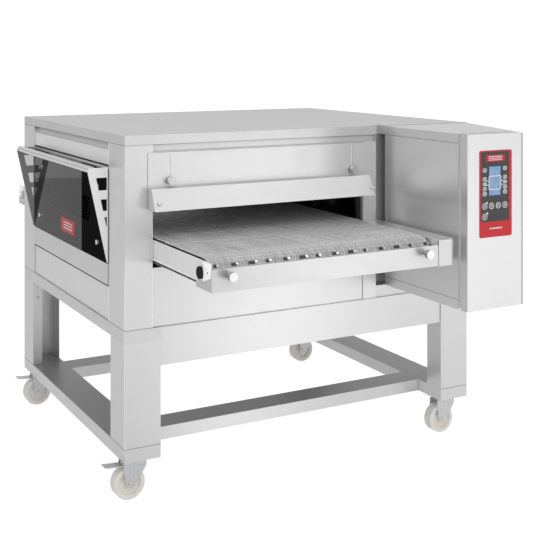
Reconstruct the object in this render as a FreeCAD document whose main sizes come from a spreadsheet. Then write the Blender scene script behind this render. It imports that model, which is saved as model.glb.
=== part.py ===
import FreeCAD, Part

import math
import os
import re

import Sketcher

# Conveyor pizza oven on a wheeled stand, in millimetres, +Z up.
# The origin lies on the floor under the middle of the whole oven. Places are written from the oven body's
# front left corner at floor level: x to the right, y to the back, z up. LEFT and FRONT carry that corner
# to the origin. The belt runs along y and sticks out at both ends; the side door is on the left.

SIZES = {
    # oven body
    "body_width": 1310, "body_depth": 1110, "body_base": 530, "body_top": 1120,
    "cover_height": 30, "pan_height": 40, "sheet": 2, "panel_inset": 3, "post_front": 90, "post_side": 142,
    "running_gap": 0.05, "sliding_gap": 0.5,
    # stand
    "leg_depth": 124, "leg_width": 117, "leg_return": 80, "leg_lip": 35, "leg_hole_radius": 7,
    "leg_hole_height": 430, "rail_top_height": 40, "rail_low_base": 130, "rail_low_height": 41,
    "rail_lip": 20, "crossbar_height": 120, "crossbar_flange": 40, "crossbar_setback": 4,
    "cross_rail_near": 133, "cross_rail_width": 103,
    # casters
    "caster_near_x": 57, "caster_near_y": 60, "caster_trail": 25, "wheel_radius": 50, "wheel_width": 35,
    "hub_radius": 16, "disc_radius": 36, "disc_recess": 9, "axle_radius": 5, "kingpin_radius": 6,
    "plate_length": 100, "plate_width": 86, "plate_sheet": 4, "bolt_radius": 4, "bolt_pitch_x": 82,
    "bolt_pitch_y": 62, "bolt_head_radius": 6.5, "bolt_head_height": 5, "fork_sheet": 4, "fork_gap": 2,
    "cheek_front": 28, "cheek_back": 46, "cheek_front_drop": 18, "cheek_back_drop": 26,
    "cheek_tip": 12, "axle_head": 4, "kingpin_head_top": 5, "kingpin_head_radius": 9.6,
    "yoke_top": 118, "yoke_height": 6, "race_radius": 30, "pedal_length": 104, "pedal_rise": 7,
    "pedal_pin_x": 38, "pedal_pin_z": 106, "pedal_pin_radius": 2.5, "pedal_hub_radius": 5.5,
    "pedal_sheet": 3, "pedal_tip": 14, "pedal_tip_rise": 4,
    # tunnel and chamber
    "tunnel_left": 84, "tunnel_right": 861, "tunnel_low": 712, "tunnel_top": 905,
    "chamber_left": 38, "chamber_right": 1100, "chamber_base": 655, "chamber_top": 1005,
    "insulation": 40, "door_hole_margin": 38, "strip_right": 914, "chamber_near": 42,
    "band_base": 1068, "band_inset": 13, "vent_pitch": 22, "vent_height": 8,
    # air ducts over and under the belt
    "finger_left": 90, "finger_right": 880, "finger_near": 170, "finger_depth": 150,
    "finger_pitch": 200, "finger_high_drop": 22, "finger_high_height": 70, "finger_low_rise": 10,
    "finger_low_height": 42, "jet_first": 150, "jet_pitch": 105, "jet_radius": 8,
    # conveyor
    "belt_left": 100, "belt_right": 851, "belt_radius": 40, "belt_thick": 4, "shaft_z": 763,
    "shaft_reach": 346, "shaft_radius": 10, "sprocket_radius": 35.5, "sprocket_width": 6,
    "sprocket_left": 120, "sprocket_right": 831,
    "rail_left": 92, "rail_right": 859, "rail_base": 739, "rail_top": 799, "rail_reach": 414,
    "rail_slant_start": 360, "rail_slant": 18,
    "rail_ledge": 6, "bearing_radius": 17.5, "bearing_flange": 6, "bearing_hub_radius": 14,
    "support_first": -260, "support_radius": 4, "support_z": 792,
    "cover_right": 926, "cover_base": 717, "cover_top": 797,
    "cover_corner": 18,
    # crumb trays
    "tray_reach": 418, "tray_depth": 102, "tray_base": 719, "tray_top": 783, "tray_knob_near": 142,
    "tray_knob_far": 804, "tray_knob_z": 764, "tray_knob_radius": 13, "tray_knob_reach": 34,
    "tray_grip_length": 16, "tray_neck_radius": 6,
    # hoods
    "hood_low": 893, "hood_fold": 957, "hood_top": 1065, "hood_left": 74, "hood_right": 867,
    "hood_shelf": 30, "hood_reach": 64, "slot_low": 973, "slot_high": 1058,
    "slot_width": 6, "stud_near": 146, "stud_far": 814, "stud_z": 977.5, "stud_radius": 2.5,
    "clamp_knob_radius": 12, "clamp_knob_depth": 20,
    # side door
    "door_gap": 4, "door_base": 642, "door_top": 1013, "door_step": 708, "door_inner": 34,
    "glass_thick": 4, "glass_base": 710, "glass_top": 1005, "window_near": 319, "window_far": 778,
    "window_low": 817, "window_high": 899, "window_lap": 12, "hinge_x": 9, "hinge_z": 650,
    "hinge_pin_radius": 4, "hinge_rim": 1, "hinge_width": 16, "hinge_setback": 10, "hinge_foot": 618,
    "hinge_sheet": 6,
    "handle_x": 55.5, "handle_z": 1006, "handle_radius": 11.5, "bracket_foot": 712,
    "bracket_top": 1012, "bracket_sheet": 3, "bracket_rim": 2.5, "bracket_corner": 6, "bracket_strut": 23,
    "stud_near_y": 235, "stud_far_y": 877, "stud_low": 763, "stud_high": 943,
    "glass_stud_radius": 8, "glass_stud_height": 6,
    "sill_top": 635, "header_base": 1019,
    # hot air fan
    "fan_y": 555, "fan_z": 830, "fan_radius": 130, "fan_near": 960, "fan_width": 60, "fan_hub": 25,
    "fan_shaft_radius": 7, "motor_radius": 70, "motor_near": 1150, "motor_far": 1280,
    "element_radius": 165, "element_step": 12, "element_tube": 4.5, "element_near": 905,
    "element_pitch": 18, "fan_shaft_grip": 30,
    # control box
    "box_left": 952, "box_right": 1311, "box_front": 398, "panel_back": 411, "panel_front": 442,
    "panel_right": 1174, "box_base": 570, "box_top": 1118, "keypad_left": 999, "keypad_right": 1129,
    "board_setback": 20, "board_left": 992, "board_width": 160, "board_low": 818, "board_height": 240,
    "relay_margin": 12, "relay_pitch": 55, "relay_width": 30, "relay_depth": 18, "relay_height": 36,
    "transformer_side": 65, "transformer_depth": 42,
    "keypad_low": 795, "keypad_high": 1066, "keypad_thick": 1.2, "display_left": 1037,
    "display_right": 1082, "display_low": 926, "display_high": 1015, "display_lip": 0.3,
    "cooling_fan_x": 1090,
    "cooling_fan_y": -150, "cooling_fan_radius": 55, "gland_x": 1130, "gland_z": 592,
    "gland_radius": 20, "gland_neck_radius": 16, "cable_radius": 9, "gland_length": 34,
    "gland_neck_length": 12, "gearbox_length": 60, "gearbox_half": 40, "belt_motor_length": 118,
    "belt_motor_radius": 32, "sleeve_radius": 13, "sleeve_gap": 3, "stub_radius": 6, "stub_length": 38,
    "neck_depth": 8, "neck_play": 6, "spindle_radius": 3, "spindle_height": 24, "bridge_reach": 70,
    "rotor_rise": 8, "rotor_hub_radius": 16, "rotor_height": 14,
    # how far the door handle stands out of the body's left face
    "handle_reach": 67,
}

LEFT = "(handle_reach - body_width) / 2"
FRONT = "body_depth / -2"
TURN_TO_X = FreeCAD.Rotation(FreeCAD.Vector(0, 1, 0), 90)
TURN_TO_Y = FreeCAD.Rotation(FreeCAD.Vector(1, 0, 0), -90)

document = FreeCAD.newDocument("conveyor_pizza_oven")
sheet = document.addObject("Spreadsheet::Sheet", "Dims")
parts = []


# ---------------------------------------------------------------- the sheet and what is bound to it

def fill_sheet():
    for row, (word, number) in enumerate(SIZES.items(), start=1):
        sheet.set("A%d" % row, word)
        sheet.set("B%d" % row, str(number))
        sheet.setAlias("B%d" % row, word)
    document.recompute()


def in_sheet(text):
    """Turn each size's word in an expression into its cell in the sheet."""
    def cell(match):
        word = match.group(0)
        return "Dims." + word if word in SIZES else word
    return re.sub(r"[a-z][a-z_]*", cell, text)


def bind(thing, name, text):
    thing.setExpression(name, in_sheet(text))


def place(thing, x="0", y="0", z="0"):
    """Put a thing's own origin at a place counted from the body's front left corner."""
    bind(thing, "Placement.Base.x", "%s + (%s)" % (LEFT, x))
    bind(thing, "Placement.Base.y", "%s + (%s)" % (FRONT, y))
    bind(thing, "Placement.Base.z", z)


# ---------------------------------------------------------------- shapes

def block(name, x, y, z):
    """A box from its two limits along each axis."""
    box = document.addObject("Part::Box", name)
    for size, (low, high) in (("Length", x), ("Width", y), ("Height", z)):
        bind(box, size, "(%s) - (%s)" % (high, low))
    place(box, x[0], y[0], z[0])
    return box


def rod(name, axis, span, centre, radius):
    """A cylinder along an axis, from its two limits and the two other coordinates of its centre."""
    cylinder = document.addObject("Part::Cylinder", name)
    bind(cylinder, "Radius", radius)
    bind(cylinder, "Height", "(%s) - (%s)" % (span[1], span[0]))
    if axis == "x":
        cylinder.Placement = FreeCAD.Placement(FreeCAD.Vector(), TURN_TO_X)
        place(cylinder, span[0], centre[0], centre[1])
    elif axis == "y":
        cylinder.Placement = FreeCAD.Placement(FreeCAD.Vector(), TURN_TO_Y)
        place(cylinder, centre[0], span[0], centre[1])
    else:
        place(cylinder, centre[0], centre[1], span[0])
    return cylinder


def outline(body, name, plane, points, lift="0"):
    """A closed sketch whose every corner is bound to the sheet."""
    sketch = body.newObject("Sketcher::SketchObject", name)
    support = [feature for feature in body.Origin.OriginFeatures if feature.Role == plane]
    sketch.AttachmentSupport = (support[0], [""])
    sketch.MapMode = "FlatFace"
    bind(sketch, "AttachmentOffset.Base.z", lift)
    count = len(points)
    start = []
    for corner in range(count):
        angle = 2 * math.pi * corner / count
        start.append(FreeCAD.Vector(100 * math.cos(angle), 100 * math.sin(angle), 0))
    for corner in range(count):
        sketch.addGeometry(Part.LineSegment(start[corner], start[(corner + 1) % count]), False)
    for corner in range(count):
        sketch.addConstraint(Sketcher.Constraint("Coincident", corner, 2, (corner + 1) % count, 1))
    for corner, (across, up) in enumerate(points):
        for kind, text, guess in (("DistanceX", across, start[corner].x), ("DistanceY", up, start[corner].y)):
            index = sketch.addConstraint(Sketcher.Constraint(kind, -1, 1, corner, 1, guess))
            bind(sketch, "Constraints[%d]" % index, text)
    return sketch


def prism(name, plane, points, span, at=("0", "0", "0")):
    """A padded outline. XY is padded up, XZ to the back and YZ to the right, over the span."""
    body = document.addObject("PartDesign::Body", name)
    sketch = outline(body, name + "_outline", plane, points)
    pad = body.newObject("PartDesign::Pad", name + "_pad")
    pad.Profile = sketch
    bind(pad, "Length", "(%s) - (%s)" % (span[1], span[0]))
    pad.Reversed = plane == "XZ_Plane"
    sketch.Visibility = False
    x, y, z = at
    if plane == "XY_Plane":
        z = "(%s) + (%s)" % (z, span[0])
    elif plane == "XZ_Plane":
        y = "(%s) + (%s)" % (y, span[0])
    else:
        x = "(%s) + (%s)" % (x, span[0])
    place(body, x, y, z)
    return body


def fuse(name, things):
    joined = document.addObject("Part::MultiFuse", name)
    joined.Shapes = things
    joined.Refine = True
    return joined


def cut(name, base, tools):
    removed = tools[0] if len(tools) == 1 else fuse(name + "_tools", tools)
    result = document.addObject("Part::Cut", name)
    result.Base = base
    result.Tool = removed
    return result


def group(name, things):
    """Separate solids in one node."""
    together = document.addObject("Part::Compound", name)
    together.Links = things
    return together


def mirrored(name, source, axis):
    """The same piece on the other side of the oven body's middle plane across x or y."""
    mirror = document.addObject("Part::Mirroring", name)
    mirror.Source = source
    if axis == "x":
        mirror.Normal = FreeCAD.Vector(1, 0, 0)
        bind(mirror, "Base.x", LEFT + " + body_width / 2")
    else:
        mirror.Normal = FreeCAD.Vector(0, 1, 0)
        bind(mirror, "Base.y", FRONT + " + body_depth / 2")
    return mirror


def four_corners(name, source):
    right = mirrored(name + "_right", source, "x")
    rear = mirrored(name + "_rear", source, "y")
    rear_right = mirrored(name + "_rear_right", right, "y")
    return group(name, [source, right, rear, rear_right])


def rounded(name, source, radius, wanted):
    """Round the edges whose middle point passes the test."""
    document.recompute()
    smooth = document.addObject("Part::Fillet", name)
    smooth.Base = source
    edges = []
    for index, edge in enumerate(source.Shape.Edges, start=1):
        middle = edge.BoundBox.Center
        if wanted(edge, middle):
            edges.append((index, radius, radius))
    smooth.Edges = edges
    return smooth


def piece(label, thing):
    """Keep a finished sub-part under the name of its node."""
    thing.Label = label
    parts.append(thing)
    return thing


# ---------------------------------------------------------------- stand

def stand_legs():
    """Folded sheet corner legs with a hole in the lip."""
    points = [("0", "0"), ("leg_width", "0"), ("leg_width", "leg_return"),
              ("leg_width - sheet", "leg_return"), ("leg_width - sheet", "sheet"), ("sheet", "sheet"),
              ("sheet", "leg_depth - sheet"), ("leg_lip", "leg_depth - sheet"), ("leg_lip", "leg_depth"),
              ("0", "leg_depth")]
    foot = "rail_low_base + rail_low_height"
    folded = prism("leg_folded", "XY_Plane", points, (foot, "body_base - rail_top_height"))
    hole = rod("leg_hole", "y", ("leg_depth - 2 * sheet", "leg_depth + sheet"),
               ("leg_lip / 2", "leg_hole_height"), "leg_hole_radius")
    leg = cut("leg_drilled", folded, [hole])
    piece("stand_legs", four_corners("legs", leg))


def top_side_rails():
    """Inverted channels with closed ends that carry the oven body along its two sides."""
    low = "body_base - rail_top_height"
    outer = block("top_rail_outer", ("0", "leg_width"), ("0", "body_depth"), (low, "body_base"))
    inner = block("top_rail_inner", ("sheet", "leg_width - sheet"), ("sheet", "body_depth - sheet"),
                  (low, "body_base - sheet"))
    rail = cut("top_rail", outer, [inner])
    piece("top_side_rails", group("top_rails", [rail, mirrored("top_rail_right", rail, "x")]))


def crossbars():
    """Front and rear channels between the legs, right under the oven body."""
    near = "crossbar_setback"
    far = "crossbar_setback + crossbar_flange"
    low = "body_base - crossbar_height"
    points = [(near, low), (far, low), (far, low + " + sheet"), (near + " + sheet", low + " + sheet"),
              (near + " + sheet", "body_base - sheet"), (far, "body_base - sheet"), (far, "body_base"),
              (near, "body_base")]
    bar = prism("crossbar", "YZ_Plane", points, ("leg_width", "body_width - leg_width"))
    piece("crossbars", group("crossbar_pair", [bar, mirrored("crossbar_rear", bar, "y")]))


def caster_bolt_places():
    """The four bolt centres of a caster plate, from its swivel axis."""
    return [("%s * bolt_pitch_x / 2" % i, "%s * bolt_pitch_y / 2" % j) for i in (-1, 1) for j in (-1, 1)]


def caster_corners():
    """Name and swivel axis of the four casters."""
    right = "body_width - caster_near_x"
    rear = "body_depth - caster_near_y"
    return [("front_left", "caster_near_x", "caster_near_y"), ("front_right", right, "caster_near_y"),
            ("rear_left", "caster_near_x", rear), ("rear_right", right, rear)]


def caster_bolt_holes(name, x, y, span):
    """Clearance holes for one caster's bolts."""
    holes = []
    for number, (along, across) in enumerate(caster_bolt_places()):
        centre = ("%s + %s" % (x, along), "%s + %s" % (y, across))
        holes.append(rod("%s_%d" % (name, number), "z", span, centre, "bolt_radius + running_gap"))
    return holes


def bottom_side_rails():
    """Closed-end channels along the floor side, open below between two lips that take the casters."""
    top = "rail_low_base + rail_low_height"
    outer = block("low_rail_outer", ("0", "leg_width"), ("0", "body_depth"), ("rail_low_base", top))
    inner = block("low_rail_inner", ("sheet", "leg_width - sheet"), ("sheet", "body_depth - sheet"),
                  ("rail_low_base + sheet", top + " - sheet"))
    slot = block("low_rail_slot", ("rail_lip + bolt_radius", "leg_width - rail_lip - bolt_radius"),
                 ("sheet", "body_depth - sheet"), ("rail_low_base - sheet", "rail_low_base + 2 * sheet"))
    tools = [inner, slot]
    for name, x, y in caster_corners():
        if name.endswith("left"):
            span = ("rail_low_base", "rail_low_base + 2 * sheet")
            tools += caster_bolt_holes("low_rail_bolt_" + name, x, y, span)
    rail = cut("low_rail", outer, tools)
    right = mirrored("low_rail_right", rail, "x")
    piece("bottom_side_rails", group("low_rails", [rail, right]))


def bottom_cross_rails():
    """Inverted channels between the bottom side rails."""
    top = "rail_low_base + rail_low_height"
    far = "cross_rail_near + cross_rail_width"
    span = ("leg_width", "body_width - leg_width")
    outer = block("cross_rail_outer", span, ("cross_rail_near", far), ("rail_low_base", top))
    inner = block("cross_rail_inner", span, ("cross_rail_near + sheet", far + " - sheet"),
                  ("rail_low_base", top + " - sheet"))
    rail = cut("cross_rail", outer, [inner])
    piece("bottom_cross_rails", group("cross_rails", [rail, mirrored("cross_rail_rear", rail, "y")]))


# ---------------------------------------------------------------- casters

def caster_plates():
    plates = []
    for name, x, y in caster_corners():
        low = "rail_low_base - plate_sheet"
        plate = block("plate_" + name, (x + " - plate_length / 2", x + " + plate_length / 2"),
                      (y + " - plate_width / 2", y + " + plate_width / 2"), (low, "rail_low_base"))
        holes = caster_bolt_holes("plate_bolt_" + name, x, y, (low, "rail_low_base"))
        holes.append(rod("plate_pin_" + name, "z", (low, "rail_low_base"), (x, y),
                         "kingpin_radius + running_gap"))
        plates.append(cut("plate_drilled_" + name, plate, holes))
    piece("caster_plates", group("plates", plates))


def caster_bolts():
    """Bolts from below through the plate and the rail's lip, each with its nut."""
    bolts = []
    under = "rail_low_base - plate_sheet"
    over = "rail_low_base + sheet"
    for name, x, y in caster_corners():
        for number, (along, across) in enumerate(caster_bolt_places()):
            centre = ("%s + %s" % (x, along), "%s + %s" % (y, across))
            mark = "%s_%d" % (name, number)
            head = rod("bolt_head_" + mark, "z", (under + " - bolt_head_height", under), centre,
                       "bolt_head_radius")
            shank = rod("bolt_shank_" + mark, "z", (under, over + " + 2 * bolt_head_height"), centre,
                        "bolt_radius")
            nut = rod("bolt_nut_" + mark, "z", (over, over + " + bolt_head_height"), centre,
                      "bolt_head_radius")
            bolts.append(fuse("bolt_" + mark, [head, shank, nut]))
    piece("caster_bolts", group("bolts", bolts))


def caster_fork(name, x, y, braked):
    """Swivel fork with its kingpin and the wheel's axle; a braked one also holds the pedal's pin."""
    inner = "wheel_width / 2 + fork_gap"
    outer = inner + " + fork_sheet"
    tip = "wheel_radius - cheek_tip"
    cheek = [("-cheek_back", "yoke_top"), ("cheek_front", "yoke_top"),
             ("cheek_front", "yoke_top - cheek_front_drop"), ("cheek_tip - caster_trail", tip),
             ("-cheek_tip - caster_trail", tip), ("-cheek_back", "yoke_top - cheek_back_drop")]
    width = ("%s - (%s)" % (y, outer), "%s + %s" % (y, outer))
    axle_span = (width[0] + " - axle_head", width[1] + " + axle_head")
    things = [
        prism("cheek_near_" + name, "XZ_Plane", cheek, ("-(%s)" % outer, "-(%s)" % inner), (x, y, "0")),
        prism("cheek_far_" + name, "XZ_Plane", cheek, (inner, outer), (x, y, "0")),
        block("yoke_" + name, (x + " - cheek_front", x + " + cheek_front"), width,
              ("yoke_top - yoke_height", "yoke_top")),
        rod("race_" + name, "z", ("yoke_top - yoke_height", "rail_low_base - plate_sheet - sliding_gap"),
            (x, y), "race_radius"),
        rod("kingpin_" + name, "z", ("yoke_top", "rail_low_base + 2 * sliding_gap"), (x, y),
            "kingpin_radius"),
        rod("kingpin_head_" + name, "z",
            ("rail_low_base + sliding_gap", "rail_low_base + kingpin_head_top"), (x, y),
            "kingpin_head_radius"),
        rod("axle_" + name, "y", axle_span, (x + " - caster_trail", "wheel_radius"), "axle_radius"),
    ]
    if braked:
        things.append(rod("pedal_pin_" + name, "y", width, (x + " - pedal_pin_x", "pedal_pin_z"),
                          "pedal_pin_radius"))
    piece("caster_fork_" + name, fuse("fork_" + name, things))


def caster_wheel(name, x, y):
    """Nylon wheel: a tread ring, a recessed disc and a hub."""
    half = "wheel_width / 2"
    centre = (x + " - caster_trail", "wheel_radius")
    rim = rod("rim_" + name, "y", ("%s - %s" % (y, half), "%s + %s" % (y, half)), centre, "wheel_radius")
    recesses = []
    for side in (-1, 1):
        face = "%s + %d * (%s)" % (y, side, half)
        ends = ["%s - %d * disc_recess" % (face, side), face]
        if side < 0:
            ends.reverse()
        mark = "%s_%s" % (name, "near" if side < 0 else "far")
        hollow = rod("hollow_" + mark, "y", ends, centre, "disc_radius")
        boss = rod("boss_" + mark, "y", ends, centre, "hub_radius")
        recesses.append(cut("recess_" + mark, hollow, [boss]))
    bore = rod("bore_" + name, "y", ("%s - %s" % (y, half), "%s + %s" % (y, half)), centre,
               "axle_radius + running_gap")
    piece("caster_wheel_" + name, cut("wheel_" + name, rim, recesses + [bore]))


def brake_pedal(name, x, y):
    """Foot lever on the fork's pin, pointing outwards over the wheel."""
    half = "wheel_width / 2"
    knee = "pedal_pin_z + pedal_rise - pedal_tip_rise"
    lever = prism("lever_" + name, "XZ_Plane",
                  [("-pedal_pin_x", "pedal_pin_z - pedal_sheet / 2"),
                   ("-pedal_length + pedal_tip", knee + " - pedal_sheet / 2"),
                   ("-pedal_length", "pedal_pin_z + pedal_rise - pedal_sheet"),
                   ("-pedal_length", "pedal_pin_z + pedal_rise"),
                   ("-pedal_length + pedal_tip", knee + " + pedal_sheet / 2"),
                   ("-pedal_pin_x", "pedal_pin_z + pedal_sheet / 2")],
                  ("-(%s)" % half, half), (x, y, "0"))
    span = ("%s - %s" % (y, half), "%s + %s" % (y, half))
    centre = (x + " - pedal_pin_x", "pedal_pin_z")
    hub = rod("pedal_hub_" + name, "y", span, centre, "pedal_hub_radius")
    bore = rod("pedal_bore_" + name, "y", span, centre, "pedal_pin_radius + running_gap")
    piece("brake_pedal_" + name, cut("pedal_" + name, fuse("pedal_blank_" + name, [lever, hub]), [bore]))


# ---------------------------------------------------------------- oven body shell

def base_pan():
    """Tray under the whole body; its upturned rim stands behind the outer panels."""
    near = "panel_inset + sheet"
    high = "body_base + pan_height"
    outer = block("pan_outer", (near, "body_width - panel_inset - sheet"),
                  (near, "body_depth - panel_inset - sheet"), ("body_base", high))
    inner = block("pan_inner", (near + " + sheet", "body_width - panel_inset - 2 * sheet"),
                  (near + " + sheet", "body_depth - panel_inset - 2 * sheet"),
                  ("body_base + sheet", high))
    piece("base_pan", cut("pan", outer, [inner]))


def corner_posts():
    """Folded corners whose returns reach in to the recessed panels."""
    deep = "panel_inset"
    points = [("0", "0"), ("post_front", "0"), ("post_front", deep), ("post_front - sheet", deep),
              ("post_front - sheet", "sheet"), ("sheet", "sheet"), ("sheet", "post_side - sheet"),
              (deep, "post_side - sheet"), (deep, "post_side"), ("0", "post_side")]
    post = prism("post", "XY_Plane", points, ("body_base", "body_top - cover_height"))
    piece("corner_posts", four_corners("posts", post))


def top_cover():
    """Folded cover with a notch at its front edge, left of the control box."""
    low = "body_top - cover_height"
    skins = []
    for mark, inset, high in (("outer", "0", "body_top"), ("inner", "sheet", "body_top - sheet")):
        slab = block("cover_" + mark, (inset, "body_width - " + inset), (inset, "body_depth - " + inset),
                     (low, high))
        notch = block("cover_notch_" + mark, ("strip_right - " + inset, "box_left + " + inset),
                      ("-sheet", "chamber_near - 2 * sheet + " + inset), (low, "body_top"))
        skins.append(cut("cover_notched_" + mark, slab, [notch]))
    piece("top_cover", cut("cover", skins[0], [skins[1]]))


def end_panel():
    """End wall round the tunnel: throat, set-back band on top, deep recess beside it, two hood studs."""
    back = ("panel_inset", "panel_inset + sheet")
    deep = ("chamber_near - 2 * sheet", "chamber_near - sheet")
    top = "body_top - cover_height"
    things = [
        block("end_plate", ("post_front", "strip_right"), back, ("body_base", "band_base")),
        block("end_strip", ("tunnel_right", "strip_right"), ("0", "panel_inset"), ("body_base", "band_base")),
        block("end_ledge", ("post_front", "strip_right"), ("panel_inset", "band_inset"),
              ("band_base - sheet", "band_base")),
        block("end_band", ("post_front", "strip_right"), ("band_inset - sheet", "band_inset"),
              ("band_base - sheet", top)),
        block("end_band_cap", ("post_front", "post_front + sheet"), ("panel_inset", "band_inset"),
              ("band_base - sheet", top)),
        block("end_return", ("strip_right - sheet", "strip_right"), ("panel_inset", deep[1]),
              ("body_base + pan_height", top)),
        block("end_deep", ("strip_right - sheet", "body_width - post_front"), deep,
              ("body_base + pan_height", top)),
        block("end_throat", ("tunnel_left - sheet", "tunnel_right + sheet"), ("panel_inset", "chamber_near"),
              ("tunnel_low - sheet", "tunnel_top + sheet")),
    ]
    tunnel = block("end_tunnel", ("tunnel_left", "tunnel_right"), ("-sheet", "chamber_near + sheet"),
                   ("tunnel_low", "tunnel_top"))
    solid = cut("end_plate_cut", fuse("end_plate_joined", things), [tunnel])
    studs = []
    for mark, x in (("near", "stud_near"), ("far", "stud_far")):
        studs.append(rod("stud_" + mark, "y", ("-clamp_knob_depth", "panel_inset"), (x, "stud_z"),
                         "stud_radius"))
    return fuse("end_wall", [solid] + studs)


def front_and_rear_panels():
    """The rear wall mirrors the front one and has a slot, open below, for the cable gland's neck."""
    front = piece("front_panel", end_panel())
    depth = ("body_depth - chamber_near", "body_depth")
    slot_end = rod("gland_slot_end", "y", depth, ("gland_x", "gland_z"), "gland_neck_radius")
    slot = block("gland_slot", ("gland_x - gland_neck_radius", "gland_x + gland_neck_radius"), depth,
                 ("body_base", "gland_z"))
    piece("rear_panel", cut("rear_wall", mirrored("rear_wall_blank", front, "y"), [slot_end, slot]))


def left_side_panels():
    """Sill under the side door, and a header over it with a set-back band under the top cover."""
    back = ("panel_inset", "panel_inset + sheet")
    across = ("post_side", "body_depth - post_side")
    sill = block("sill", back, across, ("body_base", "sill_top"))
    step = ("panel_inset", "band_inset")
    upper = ("band_base - sheet", "body_top - cover_height")
    header = fuse("header", [
        block("header_plate", back, across, ("header_base", "band_base")),
        block("header_ledge", step, across, ("band_base - sheet", "band_base")),
        block("header_band", ("band_inset - sheet", "band_inset"), across, upper),
        block("header_cap_near", step, (across[0], across[0] + " + sheet"), upper),
        block("header_cap_far", step, (across[1] + " - sheet", across[1]), upper),
    ])
    piece("left_side_panels", group("side_panels", [sill, header]))


def right_side_panel():
    """Service panel with rows of cooling slots."""
    outer = block("service_plate", ("body_width - panel_inset - sheet", "body_width - panel_inset"),
                  ("post_side", "body_depth - post_side"), ("body_base", "body_top - cover_height"))
    slots = []
    for row in range(8):
        low = "body_base + leg_depth + %d * vent_pitch" % row
        slots.append(block("vent_%d" % row, ("body_width - 2 * panel_inset", "body_width"),
                           ("body_depth / 2 - post_side", "body_depth / 2 + post_side"),
                           (low, low + " + vent_height")))
    piece("right_side_panel", cut("service_panel", outer, slots))


# ---------------------------------------------------------------- chamber and hot air

def baking_chamber():
    """Inner liner, open at both tunnel ends and towards the side door."""
    near = "chamber_near"
    far = "body_depth - chamber_near"
    outer = block("liner_outer", ("chamber_left", "chamber_right"), (near, far),
                  ("chamber_base", "chamber_top"))
    inner = block("liner_inner", ("chamber_left + sheet", "chamber_right - sheet"),
                  (near + " + sheet", far + " - sheet"), ("chamber_base + sheet", "chamber_top - sheet"))
    tunnel = block("liner_tunnel", ("tunnel_left", "tunnel_right"), ("0", "body_depth"),
                   ("tunnel_low", "tunnel_top"))
    side = block("liner_door", ("0", "chamber_left + 2 * sheet"),
                 ("post_side + door_hole_margin", "body_depth - post_side - door_hole_margin"),
                 ("chamber_base + door_hole_margin / 2", "chamber_top - door_hole_margin / 2"))
    shaft = rod("liner_shaft", "x", ("chamber_right - 2 * sheet", "chamber_right"), ("fan_y", "fan_z"),
                "2 * fan_shaft_radius")
    piece("baking_chamber", cut("liner", outer, [inner, tunnel, side, shaft]))


def insulation():
    """Fibre boards over, under and beside the chamber."""
    depth = ("chamber_near", "body_depth - chamber_near")
    across = ("chamber_left", "chamber_right + insulation")
    top = block("board_top", across, depth, ("chamber_top", "chamber_top + insulation"))
    bottom = block("board_bottom", across, depth, ("chamber_base - insulation", "chamber_base"))
    side = block("board_side_blank", ("chamber_right", "chamber_right + insulation"), depth,
                 ("chamber_base", "chamber_top"))
    shaft = rod("board_shaft", "x", ("chamber_right", "chamber_right + insulation"), ("fan_y", "fan_z"),
                "2 * fan_shaft_radius")
    piece("insulation", group("boards", [top, bottom, cut("board_side", side, [shaft])]))


def air_jet_fingers():
    """Flat ducts across the belt, over and under it, that blow hot air through rows of holes."""
    high = ("chamber_top - finger_high_drop - finger_high_height", "chamber_top - finger_high_drop")
    low = ("chamber_base + finger_low_rise", "chamber_base + finger_low_rise + finger_low_height")
    high_face = (high[0], high[0] + " + 2 * sheet")
    low_face = (low[1] + " - 2 * sheet", low[1])
    fingers = []
    for level, height, face in (("upper", high, high_face), ("lower", low, low_face)):
        for number in range(4):
            near = "finger_near + %d * finger_pitch" % number
            mark = "%s_%d" % (level, number)
            shell = block("finger_" + mark, ("finger_left", "finger_right"), (near, near + " + finger_depth"),
                          height)
            hollow = block("finger_hollow_" + mark, ("finger_left + sheet", "finger_right"),
                           (near + " + sheet", near + " + finger_depth - sheet"),
                           (height[0] + " + sheet", height[1] + " - sheet"))
            tools = [hollow]
            for jet in range(7):
                centre = ("jet_first + %d * jet_pitch" % jet, near + " + finger_depth / 2")
                tools.append(rod("jet_%s_%d" % (mark, jet), "z", face, centre, "jet_radius"))
            fingers.append(cut("finger_cut_" + mark, shell, tools))
    piece("air_jet_fingers", group("fingers", fingers))


def heating_elements():
    """Three ring elements before the fan, each smaller than the last, with two terminals to the wall."""
    rings = []
    for number in range(3):
        x = "element_near + %d * element_pitch" % number
        radius = "(element_radius - %d * element_step)" % number
        ring = document.addObject("Part::Torus", "ring_%d" % number)
        bind(ring, "Radius1", radius)
        bind(ring, "Radius2", "element_tube")
        ring.Placement = FreeCAD.Placement(FreeCAD.Vector(), TURN_TO_X)
        place(ring, x, "fan_y", "fan_z")
        terminals = []
        for side in (-1, 1):
            turn = math.radians(40 + 25 * number)
            y = "fan_y + %d * %.4f * %s" % (side, math.cos(turn), radius)
            z = "fan_z + %.4f * %s" % (math.sin(turn), radius)
            terminals.append(rod("terminal_%d_%d" % (number, side + 1), "x", (x, "chamber_right - sheet"),
                                 (y, z), "0.9 * element_tube"))
        rings.append(fuse("element_%d" % number, [ring] + terminals))
    piece("heating_elements", group("elements", rings))


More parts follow.
